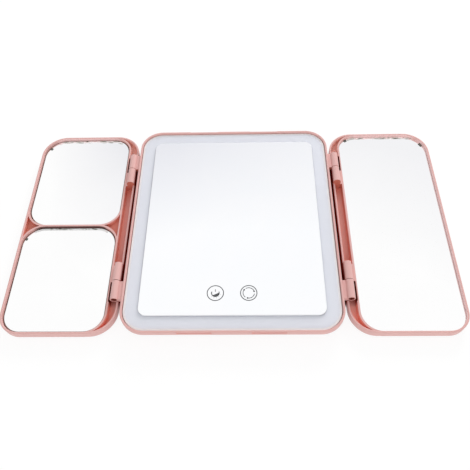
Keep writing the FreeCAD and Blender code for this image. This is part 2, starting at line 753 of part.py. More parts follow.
# Battery on its foam pad, with two leads to the control board.
battery_front = f"({BOARD_BACK} + battery_gap)"
battery_back = f"({battery_front} + battery_length)"
BATTERY_LOW = f"({COVER_IN} + foam_thickness)"
brick(
    "battery_pad",
    "-battery_width / 2 + tape_inset",
    "battery_width / 2 - tape_inset",
    f"{battery_front} + tape_inset",
    f"{battery_back} - tape_inset",
    COVER_IN,
    BATTERY_LOW,
)
battery = new_body("battery")
add(
    battery,
    BATTERY_LOW,
    f"{BATTERY_LOW} + battery_thickness",
    slab("-battery_width / 2", "battery_width / 2", battery_front, battery_back, "2 * battery_round"),
)
soften(battery, "battery_round", level(f"{BATTERY_LOW} + battery_thickness"))
for name, side in (("red", -1), ("black", 1)):
    rod_along(
        f"battery_lead_{name}",
        times(side, "4 * lead_radius"),
        f"{BOARD_TOP} + lead_radius",
        f"{BOARD_BACK} - 4 * lead_radius",
        battery_front,
        "lead_radius",
    )

# Charge board in the bay, with its socket, charge light and the lead to the control board.
brick(
    "charge_board",
    "-charge_width / 2",
    "charge_width / 2",
    f"{BAY_END} - bay_gap - charge_depth",
    f"{BAY_END} - bay_gap",
    COVER_IN,
    CHARGE_TOP,
)
SOCKET_END = f"({COVER_Y} - socket_sink)"


def socket_outline(inset):
    half = f"(socket_width / 2 - {inset})"
    return slab(
        f"-{half}",
        half,
        f"{CHARGE_TOP} + {inset}",
        f"{CHARGE_TOP} + socket_height - {inset}",
        f"socket_corner - {inset}",
    )


socket = new_body("charge_socket")
add_along(socket, f"{SOCKET_END} - socket_depth", SOCKET_END, socket_outline("0"))
cut_along(socket, f"{SOCKET_END} - socket_depth + socket_corner", SOCKET_END, socket_outline("socket_shell"))
tongue = block(
    "-socket_width / 3",
    "socket_width / 3",
    f"{CHARGE_TOP} + socket_height / 2 - tongue_thickness / 2",
    f"{CHARGE_TOP} + socket_height / 2 + tongue_thickness / 2",
)
add_along(socket, f"{SOCKET_END} - socket_depth", f"{SOCKET_END} - socket_corner", tongue)
rod_along("charge_light", "light_place", LIGHT_Z, f"{BAY_END} - socket_depth / 2", SOCKET_END, "light_radius")

lead_height = f"({BOARD_LOW} + board_thickness / 2)"
lead_side = "(battery_width / 2 + 8 * lead_radius)"
lead_turn = f"({battery_back} + 12 * lead_radius)"
charge_start = f"({BAY_END} - bay_gap - charge_depth + 2 * lead_radius)"
charge_x = "(charge_width / 4)"
shaped(
    "charge_lead",
    lead_shape(
        [
            at(charge_x, charge_start, CHARGE_TOP),
            at(charge_x, charge_start, lead_height),
            at(charge_x, lead_turn, lead_height),
            at(lead_side, battery_back, lead_height),
            at(lead_side, battery_front, lead_height),
            at("board_width / 3", f"{BOARD_BACK} + 6 * lead_radius", lead_height),
            at("board_width / 3", BOARD_BACK, lead_height),
        ],
        size("lead_radius"),
    ),
)
led_x = "(mark_spacing / 2 + pad_radius + 3 * link_radius)"
led_top = f"({STRIP_TOP} + 2 * link_radius)"
shaped(
    "led_lead",
    lead_shape(
        [
            at(led_x, f"{BOARD_FRONT} + 3 * link_radius", BOARD_TOP),
            at(led_x, f"{BOARD_FRONT} + 3 * link_radius", led_top),
            at(led_x, f"-({STRIP_FAR_Y} - strip_width + 3 * link_radius)", led_top),
            at(led_x, f"-({STRIP_FAR_Y} - strip_width + 3 * link_radius)", STRIP_TOP),
        ],
        size("link_radius"),
    ),
)

# Cover screws, driven from the back, and the rubber feet that hide them.
screws = []
feet = []
for number, (i, j) in enumerate(CORNERS):
    x = times(i, BOSS_X)
    y = times(j, BOSS_Y)
    head_low = "foot_height + foot_recess"
    head_high = f"{head_low} + screw_head_height"
    head = rod(f"screw_head_{number}", x, y, head_low, head_high, "screw_head")
    shank = rod(f"screw_shank_{number}", x, y, head_high, "boss_foot + screw_bite", "screw_radius")
    screws.append(joined(f"screw_{number}", head, shank))
    feet.append(rod(f"foot_{number}", x, y, "0", head_low, "foot_radius"))
group("cover_screws", screws)
group("rubber_feet", feet)

# Hinge pins: held in the centre's knuckles, running in the wings' knuckles.
for side_name, side in (("left", -1), ("right", 1)):
    for end_name, end in (("near", -1), ("far", 1)):
        low, high = span(end, f"{KNUCKLE_START} + pin_stop + knuckle_gap", f"{KNUCKLE_END} - pin_recess")
        rod_along(f"{side_name}_{end_name}_pin", times(side, AXIS_X), AXIS_Z, low, high, "pin_radius")


# Wings: a tray with a wall round each mirror well, and in each well a foam tape and a glass plate.
def wing_rectangle(side, near, far, front, back, near_corners, far_corners):
    """A round-cornered outline on one wing; each pair of radii is for the front and the back corner."""
    left, right = span(side, near, far)
    front_radii = (near_corners[0], far_corners[0])
    back_radii = (far_corners[1], near_corners[1])
    if side < 0:
        front_radii = front_radii[::-1]
        back_radii = back_radii[::-1]
    return slab(left, right, front, back, *front_radii, *back_radii)


def well_outline(side, well, inset):
    """The outline of a mirror well, drawn in by inset."""
    front, back, near_corners, far_corners = well
    return wing_rectangle(
        side,
        f"{POCKET_NEAR} + {inset}",
        f"{POCKET_FAR} - {inset}",
        f"{front} + {inset}",
        f"{back} - {inset}",
        [f"{radius} - {inset}" for radius in near_corners],
        [f"{radius} - {inset}" for radius in far_corners],
    )


BACK_CORNER = "wing_corner - wall"
FRONT_CORNER = "front_corner - wall"
DIVIDER_LOW = "(divider_place - pocket_wall / 2)"
DIVIDER_HIGH = "(divider_place + pocket_wall / 2)"
FULL_WELL = (f"-{POCKET_END}", POCKET_END, ["pocket_corner"] * 2, [FRONT_CORNER, BACK_CORNER])
UPPER_WELL = (
    DIVIDER_HIGH,
    POCKET_END,
    ["divider_corner", "pocket_corner"],
    ["divider_corner", BACK_CORNER],
)
LOWER_WELL = (
    f"-{POCKET_END}",
    DIVIDER_LOW,
    ["pocket_corner", "divider_corner"],
    [FRONT_CORNER, "divider_corner"],
)
WELL_FLOOR = "(tray_floor + well_step)"
GLASS_LOW = f"({WELL_FLOOR} + wing_tape)"
WELL_TOP = f"({WING_TOP} - rim_round)"
CELL_COLUMNS = 2
CELL_ROWS = 3


def part_way(low, high, step, steps):
    return f"({low}) + (({high}) - ({low})) * {step} / {steps}"


def well_cells(side, well):
    """Hollows that keep a well's raised floor light, with ribs between them."""
    front, back, near_corners, far_corners = well
    left, right = span(side, f"{POCKET_NEAR} + well_ledge", f"{POCKET_FAR} - well_ledge")
    low, high = f"{front} + well_ledge", f"{back} - well_ledge"
    cells = []
    for column in range(CELL_COLUMNS):
        for row in range(CELL_ROWS):
            cells.append(
                block(
                    part_way(left, right, column, CELL_COLUMNS) + " + cell_rib / 2",
                    part_way(left, right, column + 1, CELL_COLUMNS) + " - cell_rib / 2",
                    part_way(low, high, row, CELL_ROWS) + " + cell_rib / 2",
                    part_way(low, high, row + 1, CELL_ROWS) + " - cell_rib / 2",
                )
            )
    return cells


def make_wing(name, side, wells_by_name):
    tray = new_body(f"{name}_tray")
    rim = wing_rectangle(
        side,
        WING_NEAR,
        WING_FAR,
        f"-{WING_END}",
        WING_END,
        ["wing_corner"] * 2,
        ["front_corner", "wing_corner"],
    )
    inside = wing_rectangle(
        side,
        f"{WING_NEAR} + wall",
        f"{WING_FAR} - wall",
        f"-{POCKET_END}",
        POCKET_END,
        [BACK_CORNER] * 2,
        [FRONT_CORNER, BACK_CORNER],
    )
    add(tray, "0", WING_TOP, rim)
    soften(tray, "tray_round", level("0"))
    cut(tray, "tray_floor", WING_TOP, inside)
    soften(tray, "rim_round", level(WING_TOP))
    if len(wells_by_name) > 1:
        rib_ends = ("divider_place - divider_corner", "divider_place + divider_corner")
        rib_side = span(side, f"{POCKET_NEAR} - pocket_wall", f"{POCKET_NEAR} - pocket_wall + divider_rib")
        pockets = span(side, f"{POCKET_NEAR} - pocket_wall", f"{WING_FAR} - wall / 2")
        add(tray, "tray_floor", f"{WELL_TOP} - divider_depth", block(*pockets, *rib_ends))
        add(tray, "tray_floor", WELL_TOP, block(*rib_side, *rib_ends))
        for well in wells_by_name.values():
            cut(tray, "tray_floor", WELL_TOP, well_outline(side, well, "0"))
    for well in wells_by_name.values():
        ring = (well_outline(side, well, "(-pocket_wall)"), well_outline(side, well, "0"))
        add(tray, "tray_floor", WELL_TOP, *ring)
        add(tray, "tray_floor", WELL_FLOOR, well_outline(side, well, "0"), *well_cells(side, well))
    for end in (-1, 1):
        low, high = span(end, KNUCKLE_START, f"{KNUCKLE_MEET} - knuckle_gap / 2")
        bore_low, bore_high = span(end, f"{KNUCKLE_START} + pin_stop", f"{KNUCKLE_MEET} - knuckle_gap / 2")
        notch = span(end, f"{KNUCKLE_MEET} - knuckle_gap / 2", f"{KNUCKLE_END} + arm_clearance")
        web = span(side, f"{WING_NEAR} + wall / 2", f"{POCKET_NEAR} - pocket_wall / 2")
        post = span(side, f"{AXIS_X} - barrel_radius", f"{AXIS_X} + barrel_radius")
        wall_cut = span(side, f"{WING_NEAR} - overrun", f"{WING_NEAR} + wall + overrun")
        add(tray, "tray_floor", WELL_TOP, block(*web, low, high))
        add(tray, "tray_floor", AXIS_Z, block(*post, low, high))
        add_along(tray, low, high, disc(times(side, AXIS_X), AXIS_Z, "barrel_radius"))
        cut_along(tray, bore_low, bore_high, disc(times(side, AXIS_X), AXIS_Z, "pin_radius + pin_play"))
        cut(tray, f"{ARM_LOW} - arm_clearance", f"{WING_TOP} + overrun", block(*wall_cut, *notch))
    for well_name, well in wells_by_name.items():
        prefix = f"{name}_{well_name}" if well_name else name
        glass = new_body(f"{prefix}_mirror")
        add(glass, GLASS_LOW, f"{GLASS_LOW} + wing_glass", well_outline(side, well, "glass_gap"))
        foam_tape = new_body(f"{prefix}_mirror_tape")
        add(foam_tape, WELL_FLOOR, GLASS_LOW, well_outline(side, well, "tape_inset"))


make_wing("left", -1, {"upper": UPPER_WELL, "lower": LOWER_WELL})
make_wing("right", 1, {"": FULL_WELL})

# The pieces that are handed on, each under its own label.
PIECES = """
    centre_frame back_cover light_diffuser centre_mirror centre_mirror_tape power_mark colour_mark
    reflector_sheet led_strip_left led_strip_right led_strip_near led_strip_far led_chips strip_links
    control_board control_chips board_screws touch_pads battery battery_pad battery_lead_red
    battery_lead_black charge_board charge_socket charge_light charge_lead led_lead cover_screws rubber_feet
    left_near_pin left_far_pin right_near_pin right_far_pin
    left_tray left_upper_mirror left_upper_mirror_tape left_lower_mirror left_lower_mirror_tape
    right_tray right_mirror right_mirror_tape
""".split()

doc.removeObject(gauge.Name)
doc.recompute()
for thing in doc.Objects:
    if "Invalid" in thing.State or "Error" in thing.State:
        raise ValueError(f"{thing.Label} failed to compute: {thing.State}")
finished = {}
for label in PIECES:
    shape = doc.getObjectsByLabel(label)[0].Shape
    if shape.isNull() or not shape.isValid() or not shape.Solids:
        raise ValueError(f"{label} has no valid solid")
    finished[label] = shape

os.makedirs("parts", exist_ok=True)
for label, shape in finished.items():
    shape.exportStep(os.path.join("parts", f"{label}.step"))
    print(f"{label}: {len(shape.Solids)} solid(s), {shape.Volume:.1f} mm3")
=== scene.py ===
# %% [markdown]
# # A lighted folding makeup mirror
# The mirror lies open on a table: a centre panel with a light band and two hinged wings, all moulded in
# rose plastic. Its solid shapes come from a CAD model, which is loaded here as a fixed frame, so every
# length below is in metres in that frame. This lesson gives each piece its finish, and models anew what
# needs finer detail than CAD gives: the cut glass plates and the touch marks.

import bmesh
import bpy
import json
import math
from mathutils import Matrix, Vector

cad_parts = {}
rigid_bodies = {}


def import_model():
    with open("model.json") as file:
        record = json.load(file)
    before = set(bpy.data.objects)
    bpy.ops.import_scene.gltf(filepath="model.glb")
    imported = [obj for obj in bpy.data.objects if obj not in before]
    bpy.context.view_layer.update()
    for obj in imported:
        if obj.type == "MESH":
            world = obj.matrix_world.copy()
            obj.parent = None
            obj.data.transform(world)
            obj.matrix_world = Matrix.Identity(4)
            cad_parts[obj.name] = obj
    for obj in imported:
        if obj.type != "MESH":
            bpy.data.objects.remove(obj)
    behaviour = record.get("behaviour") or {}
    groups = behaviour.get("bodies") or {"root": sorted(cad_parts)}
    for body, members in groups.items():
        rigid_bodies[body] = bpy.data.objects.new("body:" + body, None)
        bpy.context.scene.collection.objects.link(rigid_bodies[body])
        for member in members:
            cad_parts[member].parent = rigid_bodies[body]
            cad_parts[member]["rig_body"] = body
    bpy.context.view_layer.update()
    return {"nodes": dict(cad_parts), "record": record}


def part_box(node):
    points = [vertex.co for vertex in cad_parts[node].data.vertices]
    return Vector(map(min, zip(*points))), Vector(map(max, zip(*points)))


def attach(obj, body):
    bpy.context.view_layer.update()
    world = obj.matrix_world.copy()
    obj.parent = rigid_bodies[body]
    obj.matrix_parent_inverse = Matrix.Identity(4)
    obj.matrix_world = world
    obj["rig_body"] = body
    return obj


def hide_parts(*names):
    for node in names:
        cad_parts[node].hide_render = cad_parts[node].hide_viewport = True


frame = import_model()
MM = 0.001

# %% [markdown]
# ## Camera
# The photograph looks down on the table from the near side, a little from the right, with the camera
# slightly rolled. A camera can be placed by eye, but the panel corners and touch marks are flat points of
# known size, so the place, the three angles and the focal length were solved from them. The rotation is
# built from those angles as three axes, because that shows what each of them does.

# %% Camera
PHOTO_SIDE = 470
FOCAL_PIXELS = 514.28
SENSOR = 36.0
CAMERA_PLACE = Vector((11.52, -225.86, 350.27)) * MM
PITCH, YAW, ROLL = (math.radians(a) for a in (57.91, -2.62, -2.66))

ahead = Vector((math.sin(YAW) * math.cos(PITCH), math.cos(YAW) * math.cos(PITCH), -math.sin(PITCH)))
level_right = Vector((math.cos(YAW), -math.sin(YAW), 0))
level_up = level_right.cross(ahead)
right = level_right * math.cos(ROLL) + level_up * math.sin(ROLL)
up = level_up * math.cos(ROLL) - level_right * math.sin(ROLL)

lens = bpy.data.cameras.new("photo_lens")
lens.sensor_width = SENSOR
lens.lens = SENSOR * FOCAL_PIXELS / PHOTO_SIDE
lens.clip_start = MM
camera = bpy.data.objects.new("photo_camera", lens)
bpy.context.scene.collection.objects.link(camera)
turn = Matrix((right, up, -ahead)).transposed().to_4x4()
camera.matrix_world = Matrix.Translation(CAMERA_PLACE) @ turn
bpy.context.scene.camera = camera
print("camera with a lens of", round(lens.lens, 2), "mm")

# %% [markdown]
# ## Helpers for finishes
# Blender shades in linear light, while colours are usually written as sRGB hex codes, so one function turns
# the one into the other. A finish is a graph of nodes. One more function adds a node: it sets the node's
# options and fills its sockets, and a socket that is given another node's output becomes a link. The other
# helpers give a pattern its scale from a real size, start a finish, and hand it to all CAD pieces of one
# material.

# %% Finish helpers
FACTOR, FIRST, SECOND, BLENDED = 0, 6, 7, 2  # the sockets of a colour Mix node


def linear(code):
    """An sRGB hex colour as linear red, green, blue and alpha."""
    parts = [int(code[i:i + 2], 16) / 255 for i in (1, 3, 5)]
    return (*[p / 12.92 if p <= 0.04045 else ((p + 0.055) / 1.055) ** 2.4 for p in parts], 1.0)


def per_mm(size):
    """The texture scale at which a pattern repeats about every size millimetres."""
    return 1 / (size * MM)


def add(finish, kind, sockets=None, **options):
    """Adds a node to a finish, with its options set and its sockets filled or linked."""
    node = finish.node_tree.nodes.new("ShaderNode" + kind)
    for option, value in options.items():
        setattr(node, option, value)
    for socket, value in (sockets or {}).items():
        if isinstance(value, bpy.types.NodeSocket):
            finish.node_tree.links.new(value, node.inputs[socket])
        else:
            node.inputs[socket].default_value = value
    return node


def new_finish(name):
    """An empty finish, and the place on the object that its patterns read."""
    finish = bpy.data.materials.new(name)
    finish.use_nodes = True
    finish.node_tree.nodes.clear()
    return finish, add(finish, "TexCoord").outputs["Object"]


def dress(slot, finish):
    """Gives a finish to every CAD node of one material slot."""
    named = [part["node"] for part in frame["record"]["subparts"] if part["material_slot"] == slot]
    for name in named:
        piece = frame["nodes"][name]
        piece.data.materials.clear()
        piece.data.materials.append(finish)
    print(finish.name, "on", ", ".join(named))


print("a mid grey of #808080 is", round(linear("#808080")[0], 3), "in linear light")

# %% [markdown]
# ## Studio
# The photograph has the even white light of a product table. A white world gives most of it. One large soft
# lamp, low at the far right, gives the faint shadows that fall towards the near left, and a weaker one at
# the near side lights the rims that face the camera. Flat glass shows nothing but its surroundings, so the
# world that the camera and the mirrors see is white at strength 1, with one pale grey patch high up at the
# far side: that patch gives the wing mirrors their soft grey ends. The lamps are kept out of reflections,
# as a photographer would hide them.

# %% World
WORLD_LEVEL = 0.64
# The sides of the grey patch: an axis of the sky, a start and an end on it, and the share of grey at both
GREY_SIDES = [
    ("Z", 0.84, 0.72, 0.0, 1.0),
    ("Z", 0.45, 0.62, 0.0, 1.0),
    ("X", -0.36, -0.20, 0.0, 1.0),
    ("X", -0.14, 0.12, 1.0, 0.5),
]


def seen_directly(finish):
    """1 for what the camera, a mirror or a clear piece sees, and 0 for light that falls on things."""
    rays = add(finish, "LightPath").outputs
    seen = rays["Is Camera Ray"]
    for kind in ("Is Glossy Ray", "Is Transmission Ray"):
        seen = add(finish, "Math", {0: seen, 1: rays[kind]}, operation="MAXIMUM").outputs[0]
    return seen


world = bpy.data.worlds.new("white_studio")
bpy.context.scene.world = world
world.use_nodes = True
world.node_tree.nodes.clear()
bpy.context.scene.view_settings.view_transform = "Standard"

sky = add(world, "SeparateXYZ", {"Vector": add(world, "TexCoord").outputs["Generated"]})
patch = 1.0
for axis, start, end, before, after in GREY_SIDES:
    limits = {"From Min": start, "From Max": end, "To Min": before, "To Max": after}
    side = add(world, "MapRange", {"Value": sky.outputs[axis], **limits})
    patch = add(world, "Math", {0: patch, 1: side.outputs[0]}, operation="MULTIPLY").outputs[0]
shown = add(
    world,
    "Mix",
    {FACTOR: patch, FIRST: linear("#FFFFFF"), SECOND: linear("#E8E8ED")},
    data_type="RGBA",
)
light = add(world, "Background", {"Color": linear("#FFFFFF"), "Strength": WORLD_LEVEL})
view = add(world, "Background", {"Color": shown.outputs[BLENDED], "Strength": 1.0})
both = add(world, "MixShader", {0: seen_directly(world), 1: light.outputs[0], 2: view.outputs[0]})
add(world, "OutputWorld", {"Surface": both.outputs[0]})
print("world light at", WORLD_LEVEL)

# %% Lamps
KEY_PLACE, KEY_SIDE, KEY_WATTS = Vector((0.45, 1.25, 0.50)), 0.7, 14.0
FILL_PLACE, FILL_SIDE, FILL_WATTS = Vector((0.15, -1.45, 0.60)), 1.0, 7.0


def soft_lamp(name, place, side, watts):
    """A square lamp that faces the object and stays out of the mirrors."""
    lamp = bpy.data.lights.new(name, "AREA")
    lamp.shape = "SQUARE"
    lamp.size = side
    lamp.energy = watts
    holder = bpy.data.objects.new(name, lamp)
    bpy.context.scene.collection.objects.link(holder)
    holder.matrix_world = Matrix.Translation(place) @ place.to_track_quat("Z", "Y").to_matrix().to_4x4()
    holder.visible_glossy = False
    print(name, round(place.length, 2), "m away")


soft_lamp("soft_key", KEY_PLACE, KEY_SIDE, KEY_WATTS)
soft_lamp("near_fill", FILL_PLACE, FILL_SIDE, FILL_WATTS)

# %% [markdown]
# ## Table
# The table is white paper. Paper under this light alone would render light grey, so what the camera sees of
# it also glows a little, which lifts it to white and leaves the shadow. Deep in the slots beside the hinges
# no paper would shine: an ambient occlusion node finds where it is shut in on both sides, turns the glow
# down there and tints it dark red, like the little light that pink walls pass down.

# %% Floor
FLOOR_SIDE = 6.0
FLOOR_DROP = 0.2 * MM


def start_empty():
    """Nothing selected, so that the next operator meets only the new piece."""
    bpy.ops.object.select_all(action="DESELECT")


start_empty()
bpy.ops.mesh.primitive_plane_add(size=FLOOR_SIDE, location=(0, 0, -FLOOR_DROP))
floor = bpy.context.object
floor.name = "floor"
bpy.ops.object.transform_apply(location=True, rotation=True, scale=True)
print("floor", FLOOR_SIDE, "m wide")

# %% Paper finish
SLOT_REACH = 40 * MM
SHUT_SLOT, OPEN_SLOT = 0.20, 0.42  # shares of open sky
HINGE_END, SLOT_SIDE, FADE = 67.5, 92.0, 3.0  # in mm, the first two from the middle
PAPER_GLOW = 0.86
paper, place = new_finish("white_paper")
fibres = add(paper, "TexNoise", {"Vector": place, "Scale": per_mm(60), "Detail": 2.0})
sheet = add(
    paper,
    "Mix",
    {FACTOR: fibres.outputs["Fac"], FIRST: linear("#727272"), SECOND: linear("#707070")},
    data_type="RGBA",
)
around = add(paper, "AmbientOcclusion", {"Distance": SLOT_REACH}, samples=16).outputs["AO"]
aside = add(paper, "VectorMath", {0: place}, operation="ABSOLUTE").outputs[0]
away = add(paper, "SeparateXYZ", {"Vector": aside}).outputs
open_air = add(paper, "MapRange", {"Value": around, "From Min": SHUT_SLOT, "From Max": OPEN_SLOT}).outputs[0]
for axis, start in (("Y", HINGE_END), ("X", SLOT_SIDE)):
    limits = {"From Min": start * MM, "From Max": (start + FADE) * MM}
    past = add(paper, "MapRange", {"Value": away[axis], **limits})
    open_air = add(paper, "Math", {0: open_air, 1: past.outputs[0]}, operation="MAXIMUM").outputs[0]
dim = add(
    paper,
    "Mix",
    {FACTOR: open_air, FIRST: linear("#5A160C"), SECOND: sheet.outputs[BLENDED]},
    data_type="RGBA",
)
lift = add(paper, "Math", {0: open_air, 1: PAPER_GLOW}, operation="MULTIPLY")
matt = add(paper, "BsdfDiffuse", {"Color": linear("#E8E8E8")})
shaded = add(paper, "BsdfDiffuse", {"Color": dim.outputs[BLENDED]})
glow = add(paper, "Emission", {"Strength": lift.outputs[0]})
lifted = add(paper, "AddShader", {0: shaded.outputs[0], 1: glow.outputs[0]})
surface = add(paper, "MixShader", {0: seen_directly(paper), 1: matt.outputs[0], 2: lifted.outputs[0]})
add(paper, "OutputMaterial", {"Surface": surface.outputs[0]})
floor.data.materials.append(paper)
print(paper.name, "on", floor.name)

# %% [markdown]
# ## Rose plastic
# The frame, the back cover and both wing trays are moulded ABS in one colour. Between close walls the light
# has already bounced off pink plastic, so channels look terracotta and slots deep red, and no lamp gives
# that by itself. Such shades could be painted on by hand. Here the finish paints them itself, as painted
# shade and in a few places as painted light, and places them from what it can read: how much sky a point
# sees past its own piece or past all pieces, where it is, which way it faces, and how far it is from the
# hinge axis and from the notches beside the hinge arms. All of that belongs to the object and not to the
# camera, so the painted shades stay where they are when a wing folds.

# %% What the rose finish reads
SHELTER = 14 * MM
SLIT_REACH = 30 * MM
HINGE_AXIS = [abs(v) for v in frame["record"]["behaviour"]["joints"][0]["pos_m"]]
# The box where a dark strip is painted as the shade of a notch beside each hinge arm
NOTCH_PLACE = Vector((90.4, 60.2, 6.0)) * MM
NOTCH_HALF = Vector((0.6, 7.9, 2.0)) * MM


def past_box(finish, point, half):
    """How far a point is outside a box round the origin that is given by half its sides."""
    either_way = add(finish, "VectorMath", {0: point}, operation="ABSOLUTE")
    past = add(finish, "VectorMath", {0: either_way.outputs[0], 1: half}, operation="SUBTRACT")
    outside = add(finish, "VectorMath", {0: past.outputs[0], 1: (0, 0, 0)}, operation="MAXIMUM")
    return add(finish, "VectorMath", {0: outside.outputs[0]}, operation="LENGTH").outputs["Value"]


rose, place = new_finish("rose_abs_satin")
own_sky = add(rose, "AmbientOcclusion", {"Distance": SHELTER}, samples=8, only_local=True).outputs["AO"]
slot_sky = add(rose, "AmbientOcclusion", {"Distance": SLIT_REACH}, samples=16).outputs["AO"]
signed = add(rose, "SeparateXYZ", {"Vector": place}).outputs
aside = add(rose, "VectorMath", {0: place}, operation="ABSOLUTE").outputs[0]
away = add(rose, "SeparateXYZ", {"Vector": aside}).outputs
facing = add(rose, "SeparateXYZ", {"Vector": add(rose, "TexCoord").outputs["Normal"]}).outputs
section = add(rose, "VectorMath", {0: aside, 1: (1, 0, 1)}, operation="MULTIPLY").outputs[0]
from_axis = add(rose, "VectorMath", {0: section, 1: HINGE_AXIS}, operation="DISTANCE").outputs["Value"]
from_notch = add(rose, "VectorMath", {0: aside, 1: NOTCH_PLACE}, operation="SUBTRACT").outputs[0]
notch_gap = past_box(rose, from_notch, NOTCH_HALF)
print("hinge axis in mm:", [round(v / MM, 1) for v in HINGE_AXIS])

# %% [markdown]
# ## Masks for the shades
# A mask is 1 where a shade belongs and 0 elsewhere. A Map Range node makes one from any measure: it is 0 at
# the first limit, 1 at the second, and a ramp between them. The part is alike on both sides, so most places
# are measured either way from the middle. The tables below list the measures with their limits, and a loop
# adds the nodes, which is easier to read and change than dozens of nodes written out.

# %% Masks by place and by direction
# A measure and where its mask is 0 and 1, in mm
PLACES = {
    "hinged": (away["X"], 80.0, 80.3),  # past the side of the centre panel
    "central": (away["X"], 80.3, 80.0),
    "inside": (away["X"], 84.3, 84.6),  # past the wing's wall at the slot
    "past_wall": (away["X"], 91.9, 92.1),  # past the wall between channel and wells
    "well": (away["X"], 100.0, 103.0),  # among the mirror wells
    "on_right": (signed["X"], 100.0, 103.0),
    "on_divider": (away["Y"], 8.0, 5.0),
    "by_divider": (away["Y"], 25.0, 22.0),
    "off_divider": (away["Y"], 22.0, 25.0),
    "in_arms": (away["Y"], 50.0, 51.0),
    "short_of_arms": (away["Y"], 51.0, 50.0),
    "past_hinges": (away["Y"], HINGE_END, HINGE_END + FADE),
    "behind": (signed["Y"], 0.0, FADE),  # in the far half
    "low": (away["Z"], 7.2, 7.0),
    "raised": (away["Z"], 8.45, 8.65),  # above the rims of the wings
    "bore": (from_axis, 2.22, 2.12),
    "notch": (notch_gap, 0.1, 0.0),
}
# A share of open sky or a part of the direction, and where its mask is 0 and 1
SHARES = {
    "aired": (own_sky, 0.34, 0.58),
    "shut_in": (own_sky, 0.58, 0.34),
    "open_slot": (slot_sky, 0.08, 0.30),
    "upward": (facing["Z"], 0.80, 0.95),
    "towards_near": (facing["Y"], -0.80, -0.95),
    "towards_left": (facing["X"], -0.60, -0.80),
}
mask = {}
for table, unit in ((PLACES, MM), (SHARES, 1)):
    for name, (measure, none, full) in table.items():
        limits = {"From Min": none * unit, "From Max": full * unit}
        mask[name] = add(rose, "MapRange", {"Value": measure, **limits}).outputs[0]
print(len(mask), "masks")

# %% Joined masks
# The product of masks is 1 where all of them are, the largest where any is, and 1 less a mask is its opposite
ALL, ANY, LESS = "MULTIPLY", "MAXIMUM", "SUBTRACT"
JOINED = [
    ("well_wall", ALL, "well", "off_divider"),
    # Places that keep the plain rose colour; all other places get the painted terracotta shade
    ("unshaded", ANY, "aired", "well_wall", "raised"),
    ("sheltered", LESS, "whole", "unshaded"),
    ("corner", ALL, "shut_in", "past_hinges"),
    ("pocket", ALL, "by_divider", "past_wall", "low", "upward"),
    ("channel", ALL, "inside", "short_of_arms"),
    ("lit", ANY, "open_slot", "central", "past_hinges", "channel"),
    ("slot", LESS, "whole", "lit"),
    ("barrel", ALL, "raised", "hinged"),
    ("blocked", ANY, "barrel", "channel"),
    ("closed_end", ALL, "blocked", "towards_near", "behind"),
    ("open_bore", ALL, "bore", "in_arms"),
    ("divider_wall", ALL, "on_divider", "well", "towards_near"),
    ("far_wall", ALL, "well_wall", "behind", "towards_near"),
    ("right_wall", ALL, "on_right", "towards_left"),
    ("lit_wall", ANY, "far_wall", "right_wall"),
    ("off_notch", LESS, "whole", "notch"),
    ("shining", ALL, "off_notch", "lit"),
]
mask["whole"] = 1.0
for name, operation, first, *others in JOINED:
    mask[name] = mask[first]
    for other in others:
        mask[name] = add(rose, "Math", {0: mask[name], 1: mask[other]}, operation=operation).outputs[0]
print(len(JOINED), "joined masks")

# %% [markdown]
# ## Shades of the rose plastic
# The colour drifts a little where the melt flowed. Over it lie the painted shades and the painted light, one
# by one, each through its mask. The channels get an even terracotta painted shade, the pockets beside the
# divider a deeper one, and the corners past the hinges a painted light, most of all at the far side. The
# slots beside the hinges are nearly closed, so they are painted deep red as shade. The ends of the barrels
# and channels that face the near side get painted shade, deeper than their tops, and the open bores in the
# arms are painted dark. The divider's near wall gets painted shade, while the far and the right inner
# walls get painted light. Last comes a painted dark strip beside each arm. This painted shade stands for a
# small notch that gives the arm room in the real wing's wall, because the CAD wall has no such notch.

# %% Rose colour with painted shade and painted light
flow = add(rose, "TexNoise", {"Vector": place, "Scale": per_mm(30), "Detail": 2.0})
tone = add(
    rose,
    "Mix",
    {FACTOR: flow.outputs["Fac"], FIRST: linear("#E6B7B2"), SECOND: linear("#DFADA8")},
    data_type="RGBA",
)
# Painted light for the corners past the hinges, paler still at the far side
painted_corner_light = add(
    rose,
    "Mix",
    {FACTOR: mask["behind"], FIRST: linear("#FFB09F"), SECOND: linear("#FFCCC0")},
    data_type="RGBA",
)
# Each layer is a painted shade, or a painted light where it is paler, laid over the rose colour through its
# mask
PAINTED_SHADE_AND_LIGHT = [
    # Painted terracotta shade where the plastic is sheltered, standing for pink bounced light
    ("sheltered", linear("#E48D7A")),
    # Painted light in the corners past the hinges
    ("corner", painted_corner_light.outputs[BLENDED]),
    # Painted deeper shade in the pockets beside the divider
    ("pocket", linear("#CE7664")),
    # Painted deep red shade in the nearly closed slots beside the hinges
    ("slot", linear("#A0200C")),
    # Painted shade on the barrel and channel ends that face the near side
    ("closed_end", linear("#C4705F")),
    # Painted dark shade inside the open bores of the arms
    ("open_bore", linear("#85392C")),
    # Painted shade on the divider's near wall
    ("divider_wall", linear("#745351")),
    # Painted light on the far and the right inner walls
    ("lit_wall", linear("#FAD2D0")),
    # A painted dark strip: the shade of a notch that the CAD wall lacks
    ("notch", linear("#5A1A10")),
]
rose_colour_and_shade = tone.outputs[BLENDED]
for name, shade in PAINTED_SHADE_AND_LIGHT:
    layer = add(rose, "Mix", {FACTOR: mask[name], FIRST: rose_colour_and_shade, SECOND: shade}, data_type="RGBA")
    rose_colour_and_shade = layer.outputs[BLENDED]
print(len(PAINTED_SHADE_AND_LIGHT), "shades over the rose")

# %% [markdown]
# ## Grain of the rose plastic
# The mould is spark-eroded, which leaves a fine even grain, so the plastic is satin: it has soft broad
# highlights and no mirror image. Real grain is about 0.1 mm, too fine to show at this distance, so it is
# drawn three times as coarse. A bevel node softens the edges, which a mould never leaves sharp. Slots and
# notches lose their shine, because nothing bright is left for them to mirror.

